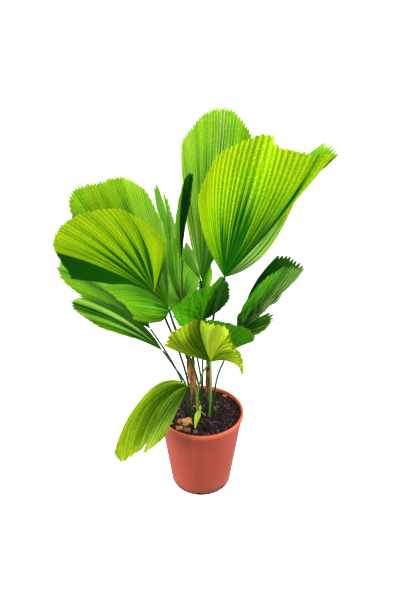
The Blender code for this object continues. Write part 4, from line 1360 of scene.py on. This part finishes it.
@dataclass
class Pot:
    """The moulded nursery pot: body, rolled lip, step ring, foot ring and drain slots."""

    base_radius: float = 0.075
    wall: float = 0.0022
    lip_height: float = 0.011
    lip_proud: float = 0.0032
    step_drop: float = 0.0105
    step_proud: float = 0.0014
    foot_recess: float = 0.0025
    foot_ring: float = 0.010
    chamfer: float = 0.0025
    drains: int = 8
    drain_width: float = 0.014
    drain_reach: float = 0.020
    drain_height: float = 0.0062
    sides: int = 160

    def outside(self, height: float) -> float:
        """The body's outer radius at a height."""
        top = POT_HEIGHT - self.lip_height
        return self.base_radius + (RIM_RADIUS - self.lip_proud - self.base_radius) * height / top

    def build(self, material: bpy.types.Material) -> None:
        """Turn the body from ring to ring, cut the drains and finish the edges."""
        deselect()
        first = self.base_radius - self.chamfer
        bpy.ops.mesh.primitive_cylinder_add(vertices=self.sides, radius=first, depth=self.chamfer,
                                            location=(0, 0, self.chamfer / 2))
        pot = named("nursery_pot")
        bpy.ops.object.transform_apply(location=True)
        self._select_end(pot, 1)
        self._rings(self._up_and_in(), first, self.chamfer)
        self._select_end(pot, -1)
        self._rings(self._under(), first, 0.0)
        bpy.ops.object.mode_set(mode="OBJECT")
        apply_modifier(pot, "BEVEL", width=0.0005, segments=2, angle_limit=math.radians(28))
        cutter = self._drain_cutter()
        apply_modifier(pot, "BOOLEAN", operation="DIFFERENCE", object=cutter)
        bpy.data.objects.remove(cutter)
        smooth(pot, 30.0)
        settle(pot, material, ["pot"])

    def _up_and_in(self) -> list[tuple[float, float]]:
        """Rings (radius, height) up the outside, over the lip and down to the inner floor."""
        top = POT_HEIGHT
        under_lip = top - self.lip_height
        step = under_lip - self.step_drop
        rim, neck = RIM_RADIUS, RIM_RADIUS - self.lip_proud
        inner = neck - self.wall
        outer = [(self.outside(self.chamfer), self.chamfer + 0.0006),
                 *((self.outside(height), height) for height in (0.05, 0.10, 0.15))]
        stepped = [(self.outside(step), step),
                   (self.outside(step) + self.step_proud, step + 0.0016),
                   (neck + self.step_proud * 0.6, under_lip - 0.0004)]
        roll = [(rim - 0.0012, under_lip), (rim - 0.0003, under_lip + 0.0008),
                (rim, under_lip + 0.0022), (rim, top - 0.0028), (rim - 0.0004, top - 0.0012),
                (rim - 0.0014, top - 0.0003), (rim - 0.0024, top)]
        inside = [(inner + 0.0004, top - 0.0003), (inner - 0.0004, top - 0.0018),
                  (inner - 0.0003, under_lip + 0.003), (inner, under_lip)]
        deep = [(self.outside(height) - self.wall, height) for height in (0.12, 0.008)]
        floor = self.foot_recess + self.wall
        bottom = (self.outside(floor) - self.wall - 0.002, floor)
        return [*outer, *stepped, *roll, *inside, *deep, bottom]

    def _under(self) -> list[tuple[float, float]]:
        """Rings under the pot, from the foot ring's edge in to the centre pad."""
        ring = self.base_radius - self.chamfer - self.foot_ring
        return [(ring, 0.0), (ring - self.foot_recess, self.foot_recess),
                (0.040, self.foot_recess), (0.0385, self.foot_recess + 0.0008),
                (0.0370, self.foot_recess), (0.0185, self.foot_recess), (0.016, 0.0)]

    def _rings(self, rings: Sequence[tuple[float, float]], radius: float, height: float) -> None:
        """Extrude the selected end from ring to ring.

        Args:
            rings: (radius, height) of each new ring.
            radius: the radius of the end's edge now.
            height: its height now.
        """
        for next_radius, next_height in rings:
            rise = {"value": (0, 0, next_height - height)}
            bpy.ops.mesh.extrude_region_move(TRANSFORM_OT_translate=rise)
            grow = next_radius / radius
            bpy.ops.transform.resize(value=(grow, grow, 1.0), center_override=(0, 0, 0))
            radius, height = next_radius, next_height

    @staticmethod
    def _select_end(pot: bpy.types.Object, side: int) -> None:
        """Select the end face that looks up (1) or down (-1)."""
        if bpy.context.mode != "OBJECT":
            bpy.ops.object.mode_set(mode="OBJECT")
        bpy.ops.object.mode_set(mode="EDIT")
        bpy.ops.mesh.select_mode(type="FACE")
        bpy.ops.mesh.select_all(action="DESELECT")
        bpy.ops.object.mode_set(mode="OBJECT")
        ends = [face for face in pot.data.polygons if face.normal.z * side > 0.99]
        max(ends, key=lambda face: face.area if side < 0 else face.center.z).select = True
        bpy.ops.object.mode_set(mode="EDIT")

    def _drain_cutter(self) -> bpy.types.Object:
        """The blocks that open the drain slots."""
        blocks = []
        for index in range(self.drains):
            turn = math.tau * index / self.drains - math.pi / 2
            reach = self.base_radius - self.drain_reach / 2 + self.wall
            middle = (reach * math.cos(turn), reach * math.sin(turn), 0)
            size = (self.drain_reach, self.drain_width, 2 * self.drain_height)
            deselect()
            bpy.ops.mesh.primitive_cube_add(size=1.0, rotation=(0, 0, turn), location=middle,
                                            scale=size)
            blocks.append(named(f"drain_{index}"))
        cutter = join(blocks, "drains")
        bpy.ops.object.transform_apply(location=True, rotation=True, scale=True)
        apply_modifier(cutter, "BEVEL", width=0.0012, segments=3)
        return cutter


@dataclass
class Soil:
    """The crumbly top of the potting mix, over the CAD soil."""

    radius: float = 0.0984
    relief: float = 0.0030
    lowest: float = 0.0004
    crumbs: int = 2300
    points: int = 150
    shard: float = 0.0018
    variants: int = 6

    def height(self, x: float, y: float) -> float:
        """The height of the crumbly surface over the CAD soil."""
        clods = noise.fractal(Vector((x * 75, y * 75, 0.3)), 1.0, 2.0, 4)
        fine = noise.noise(Vector((x * 420, y * 420, 7.1)))
        return self.lowest + self.relief * max(0.0, 0.75 + 0.8 * clods + 0.3 * fine)

    def build(self, material: bpy.types.Material) -> None:
        """Shape the clods and strew the crumbs over them."""
        top = self._surface()
        crumbs = self._crumbs(np.random.default_rng(SEED))
        ground = join([top, crumbs], "soil_crumbs")
        settle(ground, material)
        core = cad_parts["soil"]
        core.material_slots[0].material = material

    def _surface(self) -> bpy.types.Object:
        """A disc of clods with a closed underside."""
        piece, across, along = sheet_grid("soil_top", self.points, self.points)
        u, v = across * 2 - 1, along * 2 - 1
        x = u * np.sqrt(1 - v ** 2 / 2) * self.radius
        y = v * np.sqrt(1 - u ** 2 / 2) * self.radius
        z = np.array([self.height(px, py) for px, py in zip(x, y)]) + SOIL_TOP
        set_points(piece, np.stack([x, y, z], -1))
        patches = [noise.noise(Vector((px * 60, py * 60, 3.3))) for px, py in zip(x, y)]
        keep_number(piece, "shade", 0.28 + 0.35 * np.array(patches))
        apply_modifier(piece, "SOLIDIFY", thickness=0.0015, offset=-1.0)
        return piece

    def _crumbs(self, rng: np.random.Generator) -> bpy.types.Object:
        """Angular crumbs of bark and peat in many sizes."""
        shapes = [self._crumb_shape(number, rng) for number in range(self.variants)]
        places, faces, shades, count = [], [], [], 0
        for _ in range(self.crumbs):
            shape, triangles = shapes[rng.integers(self.variants)]
            reach = self.radius * 0.985 * math.sqrt(rng.uniform(0.0, 1.0))
            turn = rng.uniform(0, math.tau)
            x, y = reach * math.cos(turn), reach * math.sin(turn)
            size = self.shard * (0.45 + rng.exponential(0.42))
            size = min(size, self.shard * 2.6)
            spin = np.array(Euler(rng.uniform(0, math.tau, 3)).to_matrix())
            flat = shape * rng.uniform((0.7, 0.5, 0.35), (1.5, 1.0, 0.9)) * size
            lift = SOIL_TOP + self.height(x, y) + size * rng.uniform(0.0, 0.5)
            places.append(flat @ spin.T + (x, y, lift))
            faces.append(triangles + count)
            shades.append(np.full(len(shape), np.clip(rng.beta(0.7, 1.9) * 1.15, 0.0, 1.0)))
            count += len(shape)
        mesh = bpy.data.meshes.new("crumbs")
        mesh.from_pydata(np.vstack(places).tolist(), [], np.vstack(faces).tolist())
        piece = bpy.data.objects.new("crumbs", mesh)
        bpy.context.scene.collection.objects.link(piece)
        keep_number(piece, "shade", np.concatenate(shades))
        return piece

    @staticmethod
    def _crumb_shape(number: int, rng: np.random.Generator) -> tuple[np.ndarray, np.ndarray]:
        """A rough little shard to copy: its points and its triangles."""
        deselect()
        bpy.ops.mesh.primitive_ico_sphere_add(subdivisions=1, radius=1.0)
        piece = named(f"shard_{number}")
        places = points_of(piece) * rng.uniform(0.65, 1.25, (len(piece.data.vertices), 1))
        triangles = np.array([tuple(face.vertices) for face in piece.data.polygons])
        bpy.data.objects.remove(piece)
        return places, triangles


# ---- small things on the soil ---------------------------------------------------------


@dataclass
class Chip:
    """A broken chip of bark that stands for one of the CAD chips."""

    number: int
    finish: BarkFinish
    turn: float
    roughness: float = 0.045

    def build(self) -> None:
        """Chip a block roughly to shape where the CAD chip lies."""
        low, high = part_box(f"bark_chip_{self.number}")
        middle, size = (low + high) / 2, high - low
        deselect()
        bpy.ops.mesh.primitive_cube_add(size=1.0)
        piece = named(f"bark_piece_{self.number}")
        bpy.ops.object.mode_set(mode="EDIT")
        bpy.ops.mesh.subdivide(number_cuts=9)
        bpy.ops.object.mode_set(mode="OBJECT")
        flat = points_of(piece)
        round_off = flat / np.maximum(np.linalg.norm(flat, axis=1, keepdims=True), 0.35)
        flat = flat * 0.80 + round_off * 0.11
        turn = math.radians(self.turn)
        places = np.empty_like(flat)
        for index, place in enumerate(flat):
            seat = Vector(place) * 2.3 + Vector((self.number * 3.1, 0, 0))
            push = (noise.noise(seat) + 0.6 * noise.noise(seat * 2.7)
                    + 0.35 * noise.noise(seat * 7.0))
            step = 0.05 * round(push * 2)
            places[index] = place * (1 + self.roughness * push * 2 + step)
        x = places[:, 0] * size.x * 1.02
        y = places[:, 1] * size.y * 1.02
        spun = np.stack([x * math.cos(turn) - y * math.sin(turn),
                         x * math.sin(turn) + y * math.cos(turn),
                         places[:, 2] * size.z * 1.15], -1)
        set_points(piece, spun + np.array(middle))
        smooth(piece, 28.0)
        settle(piece, self.finish.material(), [f"bark_chip_{self.number}"])


@dataclass
class Seedling:
    """The small seedling in front of the clump."""

    stem: tuple = ((0.011, -0.016, 0.000), (0.0105, -0.016, 0.004), (0.004, -0.013, 0.011),
                   (-0.003, -0.010, 0.016))
    radius: float = 0.0011
    leaf: tuple = ((-0.0045, -0.0115, 0.0165), (-0.0150, -0.0640, 0.005), 0.0066)
    shoot: tuple = ((-0.0028, -0.0085, 0.0160), (-0.0020, -0.0020, 0.027), 0.0032)

    def build(self, material: bpy.types.Material) -> None:
        """Shape the bent stem, the long leaf and the curled shoot."""
        path = spline(np.array(self.stem) + CROWN, np.linspace(0, 1, 18))
        radii = self.radius * np.linspace(1.15, 0.75, 18)
        stem = Tube("sprout_stem", path, radii, 12).build()
        smooth(stem, 40.0)
        settle(stem, material, ["seedling_stem"])
        for name, node, (base, tip, half) in (("sprout_leaf", "seedling_leaf", self.leaf),
                                              ("sprout_shoot", "seedling_shoot", self.shoot)):
            piece = self._leaf(name, base + CROWN, tip + CROWN, half)
            settle(piece, material, [node])

    @staticmethod
    def _leaf(name: str, base: np.ndarray, tip: np.ndarray, half: float) -> bpy.types.Object:
        """A small pointed leaf, folded along its midrib and ribbed beside it."""
        piece, across, along = sheet_grid(name, 25, 34)
        c = across * 2 - 1
        axis = tip - base
        side = unit(np.cross(axis, (0.0, 0.0, 1.0)))
        up = unit(np.cross(side, axis))
        width = half * (0.10 + 0.95 * np.sin(math.pi * along ** 0.72) ** 0.9)
        veins = 0.00018 * np.cos(c * 15) * np.sin(math.pi * along)
        fold = 0.34 * width * np.abs(c) - 0.10 * width * c ** 2
        bow = 0.10 * np.linalg.norm(axis) * np.sin(math.pi * along)
        ripple = 0.0007 * np.sin(along * 14 + c * 2) * np.abs(c)
        places = (base + axis * along[:, None] + side * (width * c)[:, None]
                  + up * (fold + bow + veins + ripple)[:, None])
        set_points(piece, places)
        lay_uv(piece, "fan", across, along)
        apply_modifier(piece, "SOLIDIFY", thickness=0.0005, offset=0.0)
        smooth(piece, 40.0)
        return piece


@dataclass
class Litter:
    """Dry twigs and a curled husk lying on the soil."""

    twigs: tuple = (
        ((0.004, -0.030, 0.004), (0.018, -0.040, 0.007), (0.031, -0.056, 0.004)),
        ((0.022, -0.048, 0.004), (0.033, -0.040, 0.006), (0.047, -0.044, 0.004)),
        ((-0.004, -0.036, 0.004), (0.006, -0.047, 0.006), (0.012, -0.058, 0.003)),
        ((0.052, 0.030, 0.003), (0.060, 0.022, 0.006), (0.072, 0.024, 0.003)),
        ((-0.062, -0.004, 0.003), (-0.050, -0.012, 0.006), (-0.044, -0.026, 0.003)),
    )
    husk: tuple = ((-0.003, 0.020, 0.024), (-0.007, 0.014, 0.015), (-0.013, 0.010, 0.011),
                   (-0.019, 0.012, 0.014))

    def build(self) -> None:
        """Lay the twigs and the husk."""
        twigs = []
        for number, points in enumerate(self.twigs):
            path = spline(np.array(points) + CROWN, np.linspace(0, 1, 14))
            path[:, 2] += 0.0006 * np.sin(np.linspace(0, 9, 14))
            twigs.append(Tube(f"twig_{number}", path, np.linspace(0.0006, 0.0003, 14), 7).build())
        litter = join(twigs, "dry_twigs")
        smooth(litter, 40.0)
        settle(litter, TAN_BARK.material())
        piece, across, along = sheet_grid("dry_husk", 9, 26)
        path = spline(np.array(self.husk) + CROWN, along)
        width = 0.0020 * np.sin(math.pi * np.clip(along * 0.96 + 0.02, 0, 1)) ** 0.6
        curl = (across - 0.5) * 2.4
        out = np.stack([np.sin(curl) * width, np.zeros_like(curl), (1 - np.cos(curl)) * width], -1)
        set_points(piece, path + out)
        apply_modifier(piece, "SOLIDIFY", thickness=0.0004, offset=0.0)
        smooth(piece, 40.0)
        settle(piece, PALE_BARK.material())


# ---- studio ---------------------------------------------------------------------------


class Studio:
    """The white floor, the soft lamps and the camera."""

    camera_place: Point = (-0.003, -1.208, 1.122)
    camera_pitch: float = 26.7
    lens: float = 36.0
    floor_size: float = 1400.0
    floor_glow: float = 0.85
    floor_grey: float = 0.80
    # The grey of the painted shadow under the pot's foot.
    foot_shadow_grey: float = 0.02
    foot_shade: tuple[float, float] = (0.0735, 0.0745)
    world_strength: float = 0.68
    aim: Point = (0.0, 0.0, 0.45)
    lamps: tuple = (("key_lamp", (-2.3, -0.9, 1.6), 1.5, 130.0),
                    ("right_lamp", (2.3, -0.5, 1.2), 0.8, 80.0),
                    ("front_lamp", (-0.3, -2.6, 2.2), 1.0, 24.0),
                    ("back_lamp", (-0.3, 1.5, 2.1), 1.0, 18.0))

    def build(self) -> None:
        """Set up the studio."""
        self._floor()
        self._world()
        for lamp in self.lamps:
            self._lamp(*lamp)
        bpy.ops.object.camera_add(location=self.camera_place,
                                  rotation=(math.radians(90 - self.camera_pitch), 0, 0))
        camera = bpy.context.object
        camera.data.lens = self.lens
        bpy.context.scene.camera = camera
        bpy.context.scene.view_settings.view_transform = "Standard"

    def _floor(self) -> None:
        """A wide white floor that glows, so that it stays white far out, but not under the pot,
        where a dark disc is painted shadow.
        """
        deselect()
        bpy.ops.mesh.primitive_plane_add(size=self.floor_size, location=(0, 0, -GAP))
        floor = named("studio_floor")
        shader = Shader("studio_white", 0.9, 0.0)
        shader.surface.inputs["Emission Strength"].default_value = self.floor_glow
        x, y = shader.coordinate("X"), shader.coordinate("Y")
        # Painted shadow: under the pot's foot the floor is dark grey and does not glow.
        dark, clear = self.foot_shade
        outside = (x * x + y * y).between(dark ** 2, clear ** 2)
        shader.feed("Emission Color", shader.mix(outside, (0, 0, 0), (1, 1, 1)))
        greys = (self.foot_shadow_grey,) * 3, (self.floor_grey,) * 3
        shader.feed("Base Color", shader.mix(outside, *greys))
        floor.data.materials.append(shader.material)
        floor.visible_diffuse = False
        floor.visible_glossy = False

    def _world(self) -> None:
        """Even white light from all round."""
        world = bpy.data.worlds.new("studio_air")
        world.use_nodes = True
        air = world.node_tree.nodes["Background"]
        air.inputs["Color"].default_value = (1.0, 1.0, 1.0, 1.0)
        air.inputs["Strength"].default_value = self.world_strength
        bpy.context.scene.world = world

    def _lamp(self, name: str, place: Point, size: float, power: float) -> None:
        """Hang a soft lamp that faces the middle of the plant.

        Args:
            name: the lamp's name.
            place: where it hangs.
            size: its edge length.
            power: its power in watts.
        """
        deselect()
        bpy.ops.object.light_add(type="AREA", location=place)
        lamp = bpy.context.object
        lamp.name = name
        lamp.data.size = size
        lamp.data.energy = power
        towards = Vector(self.aim) - Vector(place)
        lamp.rotation_euler = towards.to_track_quat("-Z", "Y").to_euler()


# ---- the whole plant ------------------------------------------------------------------


class FanPalm:
    """The potted palm: pot, soil, trunks, leaves and what lies on the soil."""

    chips: tuple = ((1, PALE_BARK, 12), (2, TAN_BARK, 40), (3, TAN_BARK, 8), (4, BROWN_BARK, -12),
                    (5, BROWN_BARK, 20), (6, TAN_BARK, -18))

    def __init__(self) -> None:
        """Make each finish once, when it is first asked for."""
        self._made: dict[str, bpy.types.Material] = {}

    def finish(self, key: str, make: Callable[[], bpy.types.Material]) -> bpy.types.Material:
        """The material of a finish, made once.

        Args:
            key: the finish's name.
            make: what builds its material.

        Returns:
            The material.
        """
        if key not in self._made:
            self._made[key] = make()
        return self._made[key]

    def build(self) -> None:
        """Build every piece."""
        Pot().build(pot_material())
        Soil().build(soil_material())
        fibre = fibre_material()
        for trunk in TRUNKS.values():
            trunk.build(fibre)
        for leaf in (*LEAVES, SPLIT_SEGMENT):
            tone = leaf.look.tone.value
            Blade(leaf).build(self.finish(tone.name, tone.material))
            if leaf.via:
                Stalk(leaf).build(self.finish(leaf.stalk.name, leaf.stalk.material))
        Seedling().build(sprout_material())
        Litter().build()
        for number, finish, turn in self.chips:
            Chip(number, finish, turn).build()


def main() -> None:
    """Build the plant and the studio."""
    logging.basicConfig(level=logging.INFO)
    FanPalm().build()
    Studio().build()


if __name__ == "__main__":
    main()
